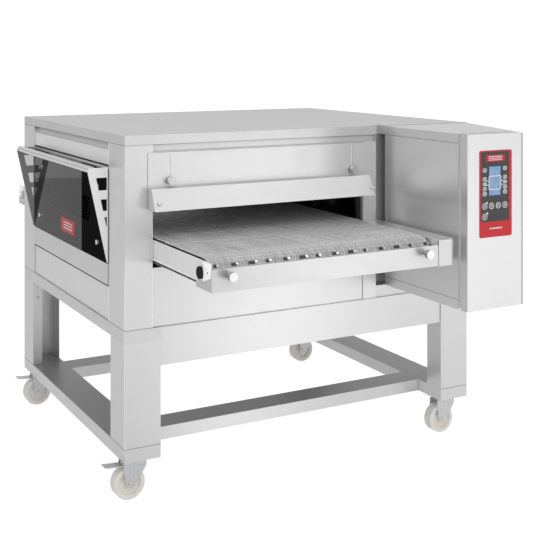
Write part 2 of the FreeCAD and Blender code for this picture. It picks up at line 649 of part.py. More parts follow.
def fan_wheel():
    """Hot air fan: back plate, straight blades, hub and the shaft into the motor."""
    far = "fan_near + fan_width"
    centre = ("fan_y", "fan_z")
    things = [rod("fan_back", "x", (far + " - sheet", far), centre, "fan_radius"),
              rod("fan_hub", "x", ("fan_near", far), centre, "fan_hub"),
              rod("fan_shaft", "x", (far, "motor_near + fan_shaft_grip"), centre, "fan_shaft_radius")]
    blades = 12
    for number in range(blades):
        blade = document.addObject("Part::Box", "blade_%d" % number)
        bind(blade, "Length", "fan_width - sheet")
        bind(blade, "Width", "fan_radius - fan_hub / 2")
        bind(blade, "Height", "sheet")
        turn = FreeCAD.Rotation(FreeCAD.Vector(1, 0, 0), 360 * number / blades)
        blade.Placement = FreeCAD.Placement(FreeCAD.Vector(), turn)
        place(blade, "fan_near", "fan_y + %.5f * fan_hub / 2" % math.cos(2 * math.pi * number / blades),
              "fan_z + %.5f * fan_hub / 2" % math.sin(2 * math.pi * number / blades))
        things.append(blade)
    piece("fan_wheel", fuse("fan", things))


def fan_motor():
    case = rod("motor_case", "x", ("motor_near", "motor_far"), ("fan_y", "fan_z"), "motor_radius")
    flange = rod("motor_flange", "x", ("chamber_right + insulation", "motor_near"), ("fan_y", "fan_z"),
                 "motor_radius / 2")
    bore = rod("motor_bore", "x", ("chamber_right + insulation", "motor_near + fan_shaft_grip + sliding_gap"),
               ("fan_y", "fan_z"),
               "fan_shaft_radius + running_gap")
    piece("fan_motor", cut("motor", fuse("motor_blank", [case, flange]), [bore]))


# ---------------------------------------------------------------- conveyor

def shaft_ends():
    """The two shaft centres along y: the driven one in front and the idler at the back."""
    return [("drive", "-shaft_reach"), ("idler", "body_depth + shaft_reach")]


def conveyor_rails():
    """Two side plates with a hole for each bearing and a slanted lower corner at each end.

    The left one has a ledge outside the oven body."""
    ends = ("-rail_reach", "body_depth + rail_reach")
    plate = block("rail_plate", ("rail_left", "rail_left + sheet"), ends, ("rail_base", "rail_top"))
    ledge = block("rail_ledge_front", ("rail_left - rail_ledge", "rail_left"),
                  ("-rail_slant_start", "-sheet"), ("rail_base", "rail_base + sheet"))
    ledge_rear = mirrored("rail_ledge_rear", ledge, "y")
    plate_right = block("rail_plate_right", ("rail_right - sheet", "rail_right"), ends,
                        ("rail_base", "rail_top"))
    holes = []
    for name, y in shaft_ends():
        for side, x in (("left", "rail_left"), ("right", "rail_right - sheet")):
            holes.append(rod("rail_hole_%s_%s" % (name, side), "x", (x, x + " + sheet"), (y, "shaft_z"),
                             "bearing_hub_radius"))
    points = [("-rail_slant_start", "rail_base"), ("-rail_reach", "rail_base + rail_slant"),
              ("-rail_reach", "rail_base")]
    corner = prism("rail_corner", "YZ_Plane", points, ("rail_left", "rail_right"))
    corners = [corner, mirrored("rail_corner_rear", corner, "y")]
    left = cut("rail_left_cut", fuse("rail_left_joined", [plate, ledge, ledge_rear]),
               [holes[0], holes[2]] + corners)
    right = cut("rail_right_cut", plate_right, [holes[1], holes[3]] + corners)
    piece("conveyor_rails", group("rails", [left, right]))


def belt_support_rods():
    rods = []
    count = 9
    for number in range(count):
        y = "support_first + %d * (body_depth - 2 * support_first) / %d" % (number, count - 1)
        rods.append(rod("support_%d" % number, "x", ("rail_left + sheet", "rail_right - sheet"),
                        (y, "support_z"), "support_radius"))
    piece("belt_support_rods", group("supports", rods))


def wire_belt():
    """The mesh belt as one plain closed loop round both shafts."""
    span = ("belt_left", "belt_right")
    skins = []
    for skin, radius in (("outer", "belt_radius"), ("inner", "belt_radius - belt_thick")):
        flat = block("belt_flat_" + skin, span, ("-shaft_reach", "body_depth + shaft_reach"),
                     ("shaft_z - (%s)" % radius, "shaft_z + %s" % radius))
        rounds = [rod("belt_%s_%s" % (skin, name), "x", span, (y, "shaft_z"), radius)
                  for name, y in shaft_ends()]
        skins.append(fuse("belt_" + skin, [flat] + rounds))
    piece("wire_belt", cut("belt", skins[0], [skins[1]]))


def conveyor_shaft(name, y, right_end):
    """Shaft with a row of twelve-sided sprockets that carry the belt round its end."""
    things = [rod(name + "_core", "x", ("rail_left", right_end), (y, "shaft_z"), "shaft_radius")]
    count = 14
    for number in range(count):
        sprocket = document.addObject("Part::Prism", "%s_sprocket_%d" % (name, number))
        sprocket.Polygon = 12
        bind(sprocket, "Circumradius", "sprocket_radius")
        bind(sprocket, "Height", "sprocket_width")
        sprocket.Placement = FreeCAD.Placement(FreeCAD.Vector(), TURN_TO_X)
        place(sprocket, "sprocket_left + %d * (sprocket_right - sprocket_left - sprocket_width) / %d"
              % (number, count - 1), y, "shaft_z")
        things.append(sprocket)
    piece(name, fuse(name + "_joined", things))


def shaft_bearings():
    """Flanged bush bearings with a round cap, on the outer face of each rail."""
    bearings = []
    for name, y in shaft_ends():
        for side in ("left", "right"):
            mark = "%s_%s" % (name, side)
            if side == "left":
                cap = ("rail_left - bearing_flange", "rail_left")
                hub = ("rail_left", "rail_left + 2 * sheet")
                bore = ("rail_left - sliding_gap", "rail_left + 2 * sheet")
            else:
                cap = ("rail_right", "rail_right + bearing_flange")
                hub = ("rail_right - 2 * sheet", "rail_right")
                bore = ("rail_right - 2 * sheet", "rail_right + bearing_flange")
            solid = fuse("bearing_" + mark,
                         [rod("bearing_cap_" + mark, "x", cap, (y, "shaft_z"), "bearing_radius"),
                          rod("bearing_hub_" + mark, "x", hub, (y, "shaft_z"), "bearing_hub_radius")])
            hole = rod("bearing_bore_" + mark, "x", bore, (y, "shaft_z"), "shaft_radius + running_gap")
            bearings.append(cut("bearing_bored_" + mark, solid, [hole]))
    piece("shaft_bearings", group("bearings", bearings))


def drive_covers():
    """Covers over the shaft ends, beside the belt, open below and towards the rail."""
    outer = block("drive_outer", ("rail_right", "cover_right"), ("-tray_reach", "0"),
                  ("cover_base", "cover_top"))
    corner = rounded("drive_rounded", outer, SIZES["cover_corner"], is_outer_front_corner)
    inner = block("drive_inner", ("rail_right", "cover_right - sheet"), ("-tray_reach + sheet", "0"),
                  ("cover_base", "cover_top - sheet"))
    inner_corner = rounded("drive_inner_rounded", inner, SIZES["cover_corner"] - SIZES["sheet"],
                           is_outer_front_corner)
    shaft = rod("drive_hole", "x", ("cover_right - 2 * sheet", "cover_right + sheet"),
                ("-shaft_reach", "shaft_z"), "1.5 * shaft_radius")
    shell = cut("drive_shell", corner, [inner_corner, shaft])
    rear = mirrored("drive_shell_rear", shell, "y")
    piece("drive_covers", group("covers", [shell, rear]))


def is_outer_front_corner(edge, middle):
    """The upright edge farthest from both the belt and the oven body."""
    upright = abs(edge.BoundBox.ZLength - edge.Length) < 1e-6
    left, front = corner_place()
    outer = middle.x > left + SIZES["cover_right"] - 2 * SIZES["sheet"]
    foremost = middle.y < front - SIZES["tray_reach"] + 2 * SIZES["sheet"]
    return upright and outer and foremost


def corner_place():
    """The body's front left corner, as numbers."""
    return (SIZES["handle_reach"] - SIZES["body_width"]) / 2, -SIZES["body_depth"] / 2


def gear_motor():
    """Gearbox and motor in the control box, in line with the driven shaft."""
    left = "box_left + sheet"
    face = left + " + gearbox_length"
    gearbox = block("gearbox", (left, face), ("-shaft_reach - gearbox_half", "-shaft_reach + gearbox_half"),
                    ("shaft_z - gearbox_half", "shaft_z + gearbox_half"))
    motor = rod("belt_motor", "x", (face, face + " + belt_motor_length"), ("-shaft_reach", "shaft_z"),
                "belt_motor_radius")
    bore = rod("gearbox_bore", "x", ("box_left", "box_left + stub_length + 2 * sheet"),
               ("-shaft_reach", "shaft_z"), "stub_radius + running_gap")
    piece("gear_motor", cut("gear_motor_bored", fuse("gear_motor_blank", [gearbox, motor]), [bore]))


def drive_coupling():
    """Sleeve between the driven shaft and the gearbox."""
    centre = ("-shaft_reach", "shaft_z")
    far = "box_left - sleeve_gap"
    sleeve = rod("sleeve", "x", ("cover_right + sleeve_gap", far), centre, "sleeve_radius")
    stub = rod("coupling_stub", "x", (far, "box_left + stub_length"), centre, "stub_radius")
    piece("drive_coupling", fuse("coupling", [sleeve, stub]))


# ---------------------------------------------------------------- crumb trays and hoods

def crumb_trays():
    """Trays that catch crumbs at the belt's ends, each pulled out by two knobs."""
    near = "-tray_reach"
    face = block("tray_face", ("rail_left", "rail_right"), (near, near + " + sheet"),
                 ("tray_base", "tray_top"))
    floor = block("tray_floor", ("rail_left", "rail_right"), (near, near + " + tray_depth"),
                  ("tray_base", "tray_base + sheet"))
    far = near + " + tray_depth"
    low = "rail_base - sliding_gap"
    high = low + " + rail_slant"
    points = [(near, "tray_base"), (far, "tray_base"), (far, low), ("-rail_slant_start", low),
              ("-rail_reach", high), (near, high)]
    sides = []
    for mark, x in (("left", "rail_left"), ("right", "rail_right - sheet")):
        sides.append(prism("tray_side_" + mark, "YZ_Plane", points, (x, x + " + sheet")))
    knobs = []
    for mark, x in (("near", "tray_knob_near"), ("far", "tray_knob_far")):
        centre = (x, "tray_knob_z")
        tip = near + " - tray_knob_reach"
        knobs.append(rod("tray_neck_" + mark, "y", (tip, near), centre, "tray_neck_radius"))
        knobs.append(rod("tray_grip_" + mark, "y", (tip, tip + " + tray_grip_length"), centre,
                         "tray_knob_radius"))
    front = fuse("tray_front", [face, floor] + sides + knobs)
    piece("crumb_tray_front", front)
    piece("crumb_tray_rear", mirrored("tray_rear", front, "y"))


def hood_section(body, name, level, offset):
    """A level rectangle through the hood: deeper at its lower edge."""
    reach = "hood_reach" if level == "hood_low" else "hood_shelf"
    left = "hood_left + " + offset
    right = "hood_right - " + offset
    near = "%s - %s" % (offset, reach)
    back = "-sliding_gap" if offset == "0" else "sheet"
    points = [(left, near), (right, near), (right, back), (left, back)]
    lift = level if offset == "0" or level == "hood_low" else level + " - sheet"
    return outline(body, name, "XY_Plane", points, lift)


def hoods():
    """Sheet hoods over the tunnel ends that slide on two clamped studs."""
    body = document.addObject("PartDesign::Body", "hood_body")
    for kind, mark, offset in (("PartDesign::AdditiveLoft", "skin", "0"),
                               ("PartDesign::SubtractiveLoft", "hollow", "sheet")):
        low = hood_section(body, "hood_low_" + mark, "hood_low", offset)
        high = hood_section(body, "hood_high_" + mark, "hood_fold", offset)
        document.recompute()
        loft = body.newObject(kind, "hood_" + mark)
        loft.Profile = low
        loft.Sections = [high]
        loft.Ruled = True
        document.recompute()
    place(body)
    thickness = ("-sheet - sliding_gap", "-sliding_gap")
    plate = block("hood_plate", ("hood_left", "hood_right"), thickness, ("hood_fold - sheet", "hood_top"))
    slots = []
    for mark, x in (("near", "stud_near"), ("far", "stud_far")):
        half = "slot_width / 2"
        slots.append(block("slot_%s_middle" % mark, (x + " - " + half, x + " + " + half), thickness,
                           ("slot_low + " + half, "slot_high - " + half)))
        for end, z in (("low", "slot_low + " + half), ("high", "slot_high - " + half)):
            slots.append(rod("slot_%s_%s" % (mark, end), "y", thickness, (x, z), half))
    hood = fuse("hood", [body, cut("hood_plate_slotted", plate, slots)])
    piece("hood_front", hood)
    piece("hood_rear", mirrored("hood_mirrored", hood, "y"))


def clamp_knobs():
    """Round knobs screwed on the studs in front of the hood plates."""
    near = "-sheet - 2 * sliding_gap"
    for mark, x in (("left", "stud_near"), ("right", "stud_far")):
        centre = (x, "stud_z")
        washer = rod("washer_" + mark, "y", (near + " - 3", near), centre, "0.7 * clamp_knob_radius")
        grip = rod("clamp_grip_" + mark, "y", (near + " - clamp_knob_depth", near + " - 3"), centre,
                   "clamp_knob_radius")
        bore = rod("clamp_bore_" + mark, "y", ("-clamp_knob_depth - sliding_gap", near), centre,
                   "stud_radius + running_gap")
        knob = cut("clamp_" + mark, fuse("clamp_blank_" + mark, [washer, grip]), [bore])
        piece("clamp_knob_front_" + mark, knob)
        piece("clamp_knob_rear_" + mark, mirrored("clamp_rear_" + mark, knob, "y"))


# ---------------------------------------------------------------- side door

def door_frame():
    """Hollow sheet door with a window, thicker along its lower strip, notched for its two hinges."""
    wide = ("post_side + door_gap / 2", "body_depth - post_side - door_gap / 2")
    within = (wide[0] + " + sheet", wide[1] + " - sheet")
    back = "door_inner - sheet"
    lower = block("door_lower", ("-sheet", "door_inner"), wide, ("door_base", "door_step"))
    upper = block("door_upper", ("sheet", "door_inner"), wide, ("door_step", "door_top"))
    hollow_low = block("door_hollow_low", ("0", back), within, ("door_base + sheet", "door_step - sheet"))
    hollow = block("door_hollow", ("2 * sheet", back), within, ("door_base + sheet", "door_top - sheet"))
    window = block("door_window", ("-2 * sheet", "door_inner + sheet"), ("window_near", "window_far"),
                   ("window_low", "window_high"))
    tools = [hollow_low, hollow, window]
    arm_near = "post_side + hinge_setback - sliding_gap"
    arm_far = "post_side + hinge_setback + hinge_width + sliding_gap"
    reach = "hinge_pin_radius + hinge_rim + sliding_gap"
    hole = "hinge_pin_radius + running_gap"
    for end, notch, wall in (("near", (arm_near, arm_far), (wide[0], within[0])),
                             ("far", ("body_depth - (%s)" % arm_far, "body_depth - (%s)" % arm_near),
                              (within[1], wide[1]))):
        tools.append(block("door_notch_" + end, ("hinge_x - (%s)" % reach, "door_inner"), notch,
                           ("door_base", "hinge_z + " + reach)))
        tools.append(rod("door_pin_hole_" + end, "y", wall, ("hinge_x", "hinge_z"), hole))
    piece("door_frame", cut("door", fuse("door_solid", [lower, upper]), tools))


def door_glass():
    """Dark outer pane over the whole door face and a clear inner pane behind the window."""
    outer = block("pane_outer", ("sheet - glass_thick", "sheet"),
                  ("post_side + door_gap / 2", "body_depth - post_side - door_gap / 2"),
                  ("glass_base", "glass_top"))
    inner = block("pane_inner", ("door_inner", "door_inner + glass_thick - sliding_gap"),
                  ("window_near - window_lap", "window_far + window_lap"),
                  ("window_low - window_lap", "window_high + window_lap"))
    piece("door_glass", group("panes", [outer, inner]))


def glass_studs():
    studs = []
    face = "sheet - glass_thick"
    for y in ("stud_near_y", "stud_far_y"):
        for z in ("stud_low", "stud_high"):
            studs.append(rod("glass_stud_%s_%s" % (y, z), "x", (face + " - glass_stud_height", face), (y, z),
                             "glass_stud_radius"))
    piece("glass_studs", group("studs", studs))


def handle_brackets():
    """Three-cornered plates at the door's ends that hold the bar, each with three cut-outs."""
    back = "sheet - glass_thick"
    reach = "(handle_x + handle_radius - glass_thick + sheet - bracket_rim)"
    foot_to_bar = "handle_z - handle_radius - bracket_foot"
    front = "-handle_x - handle_radius"
    points = [(back, "bracket_foot"), (back, "bracket_top"), (front + " + bracket_corner", "bracket_top"),
              (front, "bracket_top - bracket_corner"), (front, "handle_z - handle_radius"),
              (back + " - bracket_rim", "bracket_foot")]
    span = ("post_side", "post_side + bracket_sheet")
    plate = prism("bracket_plate", "XZ_Plane", points, span)
    holes = []
    for number, (low, high) in enumerate(((0.40, 0.51), (0.58, 0.71), (0.81, 0.95))):
        inner = back + " - bracket_rim"
        corners = [(inner, "bracket_foot + %.2f * (%s)" % (share, foot_to_bar)) for share in (low, high)]
        for share in (high, low):
            strut = "%s - %.2f * %s + bracket_strut" % (inner, share, reach)
            corners.append((strut, "bracket_foot + %.2f * (%s)" % (share, foot_to_bar)))
        holes.append(prism("bracket_hole_%d" % number, "XZ_Plane", corners, span))
    bracket = cut("bracket", plate, holes)
    piece("handle_brackets", group("brackets", [bracket, mirrored("bracket_far", bracket, "y")]))


def handle_bar():
    span = ("post_side + bracket_sheet", "body_depth - post_side - bracket_sheet")
    piece("handle_bar", rod("bar", "y", span, ("-handle_x", "handle_z"), "handle_radius"))


def door_hinges():
    """Hooks on the sill's inner face that reach round into the door, each with a pin."""
    sill = "panel_inset + sheet"
    behind = "door_inner + sliding_gap"
    inmost = "chamber_left - sliding_gap"
    tip = "hinge_x - hinge_pin_radius"
    arm_low = "hinge_z - hinge_pin_radius - hinge_rim"
    arm_high = "hinge_z + hinge_pin_radius + hinge_rim"
    foot_top = "hinge_foot + hinge_sheet"
    points = [(sill, "hinge_foot"), (inmost, "hinge_foot"), (inmost, arm_high), (tip, arm_high),
              (tip, arm_low), (behind, arm_low), (behind, foot_top), (sill, foot_top)]
    near = "post_side + hinge_setback"
    hook = prism("hinge_hook", "XZ_Plane", points, (near, near + " + hinge_width"))
    pin = rod("hinge_pin", "y", ("post_side + door_gap / 2", near), ("hinge_x", "hinge_z"),
              "hinge_pin_radius")
    hinge = fuse("hinge_near", [hook, pin])
    piece("door_hinges", group("hinges", [hinge, mirrored("hinge_far", hinge, "y")]))


# ---------------------------------------------------------------- control box

def slanted(y):
    """x of the control box's slanted right side at a depth in front of the oven body."""
    return "box_right - (box_right - panel_right) * (%s) / panel_front" % y


def box_outline(front, back, inset):
    """Plan of the control box between two depths, drawn in from its sides."""
    return [("box_left + " + inset, "-(%s)" % front), (slanted(front) + " - " + inset, "-(%s)" % front),
            (slanted(back) + " - " + inset, "-(%s)" % back), ("box_left + " + inset, "-(%s)" % back)]


def control_housing():
    """Sheet housing with a slanted right side, an inner neck for the lid and the fan's spider."""
    whole = ("box_base", "box_top")
    inside = ("box_base + sheet", "box_top - sheet")
    outer = prism("housing_outer", "XY_Plane", box_outline("box_front", "0", "0"), whole)
    inner = prism("housing_inner", "XY_Plane", box_outline("box_front + sheet", "sheet", "sheet"), inside)
    neck = prism("neck_outer", "XY_Plane",
                 box_outline("panel_back + neck_depth", "box_front - sheet", "neck_play"),
                 ("box_base + neck_play", "box_top - neck_play"))
    mouth = prism("neck_inner", "XY_Plane",
                  box_outline("panel_back + neck_depth + sheet", "box_front - 2 * sheet",
                              "neck_play + sheet"),
                  ("box_base + neck_play + sheet", "box_top - neck_play - sheet"))
    rim = prism("neck_rim", "XY_Plane", box_outline("box_front", "box_front - sheet", "0"), whole)
    shaft = rod("housing_hole", "x", ("box_left - sheet", "box_left + 2 * sheet"),
                ("-shaft_reach", "shaft_z"), "1.5 * stub_radius")
    shell = cut("housing_shell", outer, [inner])
    joined = cut("housing_joined", fuse("housing_necked", [shell, rim, neck]), [mouth, shaft])
    vent = rod("housing_vent", "z", ("box_base - sheet", "box_base + 2 * sheet"),
               ("cooling_fan_x", "cooling_fan_y"), "cooling_fan_radius + sheet")
    half = "rotor_height / 2"
    bridge = block("housing_bridge", ("cooling_fan_x - bridge_reach", "cooling_fan_x + bridge_reach"),
                   ("cooling_fan_y - " + half, "cooling_fan_y + " + half), ("box_base", "box_base + sheet"))
    spindle = rod("housing_spindle", "z", ("box_base", "box_base + spindle_height"),
                  ("cooling_fan_x", "cooling_fan_y"), "spindle_radius")
    vented = cut("housing_vented", joined, [vent])
    piece("control_housing", fuse("housing", [vented, bridge, spindle]))


def control_panel():
    """Folded front lid of the control box."""
    outer = prism("lid_outer", "XY_Plane", box_outline("panel_front", "panel_back", "0"),
                  ("box_base", "box_top"))
    inner = prism("lid_inner", "XY_Plane", box_outline("panel_front - sheet", "panel_back - sheet", "sheet"),
                  ("box_base + sheet", "box_top - sheet"))
    piece("control_panel", cut("lid", outer, [inner]))


def keypad():
    """Membrane keypad with a window for the display."""
    depth = ("-panel_front - keypad_thick", "-panel_front")
    film = block("film", ("keypad_left", "keypad_right"), depth, ("keypad_low", "keypad_high"))
    hole = block("film_window", ("display_left", "display_right"), depth, ("display_low", "display_high"))
    piece("keypad", cut("keypad_film", film, [hole]))


def display_lens():
    piece("display_lens", block("lens", ("display_left", "display_right"),
                                ("-panel_front - keypad_thick - display_lip", "-panel_front"),
                                ("display_low", "display_high")))


def controller_board():
    """Circuit board behind the lid, with its relays and transformer."""
    front = "-box_front + board_setback"
    face = front + " + sheet"
    things = [block("board", ("board_left", "board_left + board_width"), (front, face),
                    ("board_low", "board_low + board_height"))]
    relay_left = "board_left + relay_margin"
    for row in range(4):
        low = "board_low + relay_margin + %d * relay_pitch" % row
        things.append(block("relay_%d" % row, (relay_left, relay_left + " + relay_width"),
                            (face, face + " + relay_depth"), (low, low + " + relay_height")))
    right = "board_left + board_width - relay_margin"
    low = "board_low + relay_margin"
    things.append(block("transformer", (right + " - transformer_side", right),
                        (face, face + " + transformer_depth"), (low, low + " + transformer_side")))
    piece("controller_board", fuse("board_joined", things))


def cooling_fan():
    """Small rotor over the vent in the control box's floor."""
    low = "box_base + rotor_rise"
    high = low + " + rotor_height"
    centre = ("cooling_fan_x", "cooling_fan_y")
    things = [rod("rotor_hub", "z", (low, high), centre, "rotor_hub_radius")]
    blades = 7
    root = "rotor_hub_radius / 2"
    for number in range(blades):
        turn = 360 * number / blades
        blade = document.addObject("Part::Box", "rotor_blade_%d" % number)
        bind(blade, "Length", "cooling_fan_radius - rotor_hub_radius")
        bind(blade, "Width", "sheet")
        bind(blade, "Height", "rotor_height - sheet")
        blade.Placement = FreeCAD.Placement(FreeCAD.Vector(), FreeCAD.Rotation(FreeCAD.Vector(0, 0, 1), turn))
        place(blade, "cooling_fan_x + %.5f * %s" % (math.cos(math.radians(turn)), root),
              "cooling_fan_y + %.5f * %s" % (math.sin(math.radians(turn)), root), low + " + sheet / 2")
        things.append(blade)
    bore = rod("rotor_bore", "z", (low, high), centre, "spindle_radius + running_gap")
    piece("cooling_fan", cut("rotor", fuse("rotor_blank", things), [bore]))


def cable_gland():
    """Power cable entry at the back of the oven body."""
    face = "body_depth - chamber_near + 2 * sheet"
    inside = face + " - gland_neck_length"
    centre = ("gland_x", "gland_z")
    things = [rod("gland_body", "y", (face, face + " + gland_length"), centre, "gland_radius"),
              rod("gland_neck", "y", (inside, face), centre, "gland_neck_radius")]
    bore = rod("gland_bore", "y", (inside, face + " + gland_length"), centre, "cable_radius")
    piece("cable_gland", cut("gland", fuse("gland_blank", things), [bore]))


# ---------------------------------------------------------------- the whole oven

def build():
    fill_sheet()
    for make in (stand_legs, top_side_rails, crossbars, bottom_side_rails, bottom_cross_rails,
                 caster_plates, caster_bolts):
        make()
    for name, x, y in caster_corners():
        braked = name.endswith("left")
        caster_fork(name, x, y, braked)
        caster_wheel(name, x, y)
        if braked:
            brake_pedal(name, x, y)
    for make in (base_pan, corner_posts, top_cover, front_and_rear_panels, left_side_panels,
                 right_side_panel, baking_chamber, insulation, air_jet_fingers, heating_elements,
                 fan_wheel, fan_motor, conveyor_rails, belt_support_rods, wire_belt):
        make()
    conveyor_shaft("drive_shaft", "-shaft_reach", "cover_right + sleeve_gap")
    conveyor_shaft("idler_shaft", "body_depth + shaft_reach", "rail_right + bearing_flange")
    for make in (shaft_bearings, drive_covers, gear_motor, drive_coupling, crumb_trays, hoods,
                 clamp_knobs, door_frame, door_glass, glass_studs, handle_brackets, handle_bar,
                 door_hinges, control_housing, control_panel, keypad, display_lens, controller_board,
                 cooling_fan, cable_gland):
        make()
    document.recompute()


def check():
    """Stop if any object failed or any sub-part is empty or not a sound solid."""
    faults = []
    for thing in document.Objects:
        if "Invalid" in thing.State or "Error" in thing.State:
            faults.append("%s failed" % thing.Label)
    for thing in parts:
        shape = thing.Shape
        if shape.isNull() or not shape.isValid() or not shape.Solids:
            faults.append("%s has no sound solid" % thing.Label)
    if faults:
        raise RuntimeError("; ".join(faults))


def export():
    os.makedirs("parts", exist_ok=True)
    for thing in parts:
        thing.Shape.exportStep("parts/%s.step" % thing.Label)
    print("%d sub-parts written" % len(parts))


build()
check()
export()
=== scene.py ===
import math

import bpy
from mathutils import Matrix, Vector

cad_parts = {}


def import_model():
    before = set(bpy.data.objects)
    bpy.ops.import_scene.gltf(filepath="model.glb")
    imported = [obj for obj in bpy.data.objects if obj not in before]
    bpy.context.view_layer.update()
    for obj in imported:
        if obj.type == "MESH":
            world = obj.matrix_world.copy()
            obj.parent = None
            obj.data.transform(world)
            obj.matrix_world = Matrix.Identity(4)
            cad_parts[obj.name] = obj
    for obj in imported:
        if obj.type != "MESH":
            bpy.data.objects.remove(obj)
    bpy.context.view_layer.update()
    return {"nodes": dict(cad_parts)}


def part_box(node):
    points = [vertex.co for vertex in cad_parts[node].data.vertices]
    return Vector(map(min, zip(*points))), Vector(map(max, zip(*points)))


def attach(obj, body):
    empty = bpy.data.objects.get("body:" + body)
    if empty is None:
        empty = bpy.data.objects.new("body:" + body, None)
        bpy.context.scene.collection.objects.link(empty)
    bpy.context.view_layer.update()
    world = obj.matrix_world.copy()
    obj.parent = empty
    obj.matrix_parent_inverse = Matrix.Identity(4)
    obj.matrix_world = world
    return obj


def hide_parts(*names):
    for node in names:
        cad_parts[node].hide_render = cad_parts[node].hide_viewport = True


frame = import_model()
nodes = frame["nodes"]

# Places are written in millimetres from the oven body's front left corner at floor level, x to the right,
# y to the back, z up. spot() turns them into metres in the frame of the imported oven.
MM = 0.001
CORNER, FAR_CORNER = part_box("corner_posts")
BODY_WIDTH = (FAR_CORNER.x - CORNER.x) / MM
BODY_DEPTH = (FAR_CORNER.y - CORNER.y) / MM
BODY_BASE = CORNER.z / MM
COVER_BASE = 1090
POST_FRONT = 90
POST_SIDE = 142
LEG_WIDTH = 117
LEG_DEPTH = 124
LEG_FOOT = 171
BOX_LEFT = 952
BOX_FRONT = -398
HOOD_STUDS = (146, 814)

CAMERA_YAW = 28.67  # degrees to the right of straight ahead
BELT_LEAN = -0.1245  # the belt's streaks shift by this share of their way back, its strands against it


def spot(x, y, z):
    """A point given in millimetres from the body's front left corner at floor level."""
    return Vector((CORNER.x + x * MM, CORNER.y + y * MM, z * MM))


# ---------------------------------------------------------------- materials

class Shader:
    """A node material built by small steps."""

    def __init__(self, name):
        self.material = bpy.data.materials.new(name)
        self.material.use_nodes = True
        self.tree = self.material.node_tree
        self.tree.nodes.clear()
        self.output = self.tree.nodes.new("ShaderNodeOutputMaterial")
        self.surface = self.tree.nodes.new("ShaderNodeBsdfPrincipled")
        self.link(self.surface.outputs[0], self.output.inputs[0])

    def link(self, source, target):
        self.tree.links.new(source, target)

    def add(self, kind, settings=None, **inputs):
        """A node with settings; inputs are values or other nodes' outputs."""
        node = self.tree.nodes.new(kind)
        for key, value in (settings or {}).items():
            setattr(node, key, value)
        for key, value in inputs.items():
            self.feed(node, key, value)
        return node

    def feed(self, node, key, value):
        socket = node.inputs[int(key[1:])] if key[0] == "i" and key[1:].isdigit() else node.inputs[key]
        if isinstance(value, bpy.types.NodeSocket):
            self.link(value, socket)
        else:
            socket.default_value = value

    def place(self, scale=(1, 1, 1)):
        """Object coordinates in metres, stretched by a scale."""
        coordinates = self.add("ShaderNodeTexCoord")
        mapping = self.add("ShaderNodeMapping", i0=coordinates.outputs["Object"], Scale=scale)
        return mapping.outputs[0]

    def axis(self, index):
        """One coordinate of the shaded point, in metres."""
        return self.add("ShaderNodeSeparateXYZ", i0=self.place()).outputs[index]

    def facing(self, index):
        """One part of the shaded point's normal."""
        normal = self.add("ShaderNodeNewGeometry").outputs["Normal"]
        return self.add("ShaderNodeSeparateXYZ", i0=normal).outputs[index]

    def noise(self, scale, size, detail=3.0):
        made = self.add("ShaderNodeTexNoise", i0=self.place(scale), Scale=size, Detail=detail)
        return made.outputs["Fac"]

    def ramp(self, value, low, high, start, end):
        """Map a value from one range to another, held at the ends."""
        made = self.add("ShaderNodeMapRange", i0=value)
        for index, number in enumerate((low, high, start, end)):
            made.inputs[index + 1].default_value = number
        return made.outputs[0]

    def mix(self, share, first, second):
        made = self.add("ShaderNodeMix", {"data_type": "RGBA"})
        for key, value in ((0, share), (6, first), (7, second)):
            if isinstance(value, bpy.types.NodeSocket):
                self.link(value, made.inputs[key])
            else:
                made.inputs[key].default_value = value
        return made.outputs[2]

    def sum(self, operation, first, second):
        return self.add("ShaderNodeMath", {"operation": operation}, i0=first, i1=second).outputs[0]

    def set(self, **inputs):
        for key, value in inputs.items():
            self.feed(self.surface, key.replace("_", " "), value)

    def bump(self, value, strength, distance):
        made = self.add("ShaderNodeBump", Height=value, Strength=strength, Distance=distance)
        self.link(made.outputs[0], self.surface.inputs["Normal"])


def grey(value):
    return (value, value, value, 1)


def upward_shade(shader):
    """Painted shade: faces that look up are darker."""
    return shader.ramp(shader.facing(2), 0.5, 0.9, 1.0, 0.5)


def beyond(shader, distance):
    """1 where a point is more than a distance in mm to the front or back of the oven's middle."""
    return shader.sum("GREATER_THAN", shader.sum("ABSOLUTE", shader.axis(1), 0.0), distance * MM)


def knob_light_and_shade(shader):
    """Painted highlight on the faces and painted shade on the sides of the crumb tray knobs, which stand
    out from the tray's face.
    """
    tray_face = 974  # mm from the oven's middle
    side = shader.sum("LESS_THAN", shader.sum("ABSOLUTE", shader.facing(1), 0.0), 0.5)
    change = shader.ramp(side, 0, 1, 0.35, -0.4)
    return shader.sum("ADD", shader.sum("MULTIPLY", beyond(shader, tray_face), change), 1.0)


def throat_shade(shader):
    """Painted shade inside the tunnel's mouth, from 15 mm behind the body's front and rear."""
    low, high = spot(82, 0, 709), spot(863, 0, 908)
    inside = shader.sum("SUBTRACT", 1.0, beyond(shader, BODY_DEPTH / 2 - 15))
    for index, start, end in ((0, low.x, high.x), (2, low.z, high.z)):
        inside = shader.sum("MULTIPLY", inside, shader.sum("GREATER_THAN", shader.axis(index), start))
        inside = shader.sum("MULTIPLY", inside, shader.sum("LESS_THAN", shader.axis(index), end))
    return shader.ramp(inside, 0, 1, 1.0, 0.12)


def header_shade(shader):
    """Painted soft shadow under the top cover's edge, and painted shade that darkens the panel under the
    door.
    """
    shadow = shader.ramp(shader.axis(2), 1.062, 1.086, 1.0, 0.5)
    return shader.sum("MULTIPLY", shadow, shader.ramp(shader.axis(2), 0.7, 1.0, 0.86, 1.0))


def bracket_shade(shader):
    """The handle bracket at the far end stands in the shade."""
    return shader.ramp(shader.axis(1), 0.0, 0.1, 1.0, 0.3)


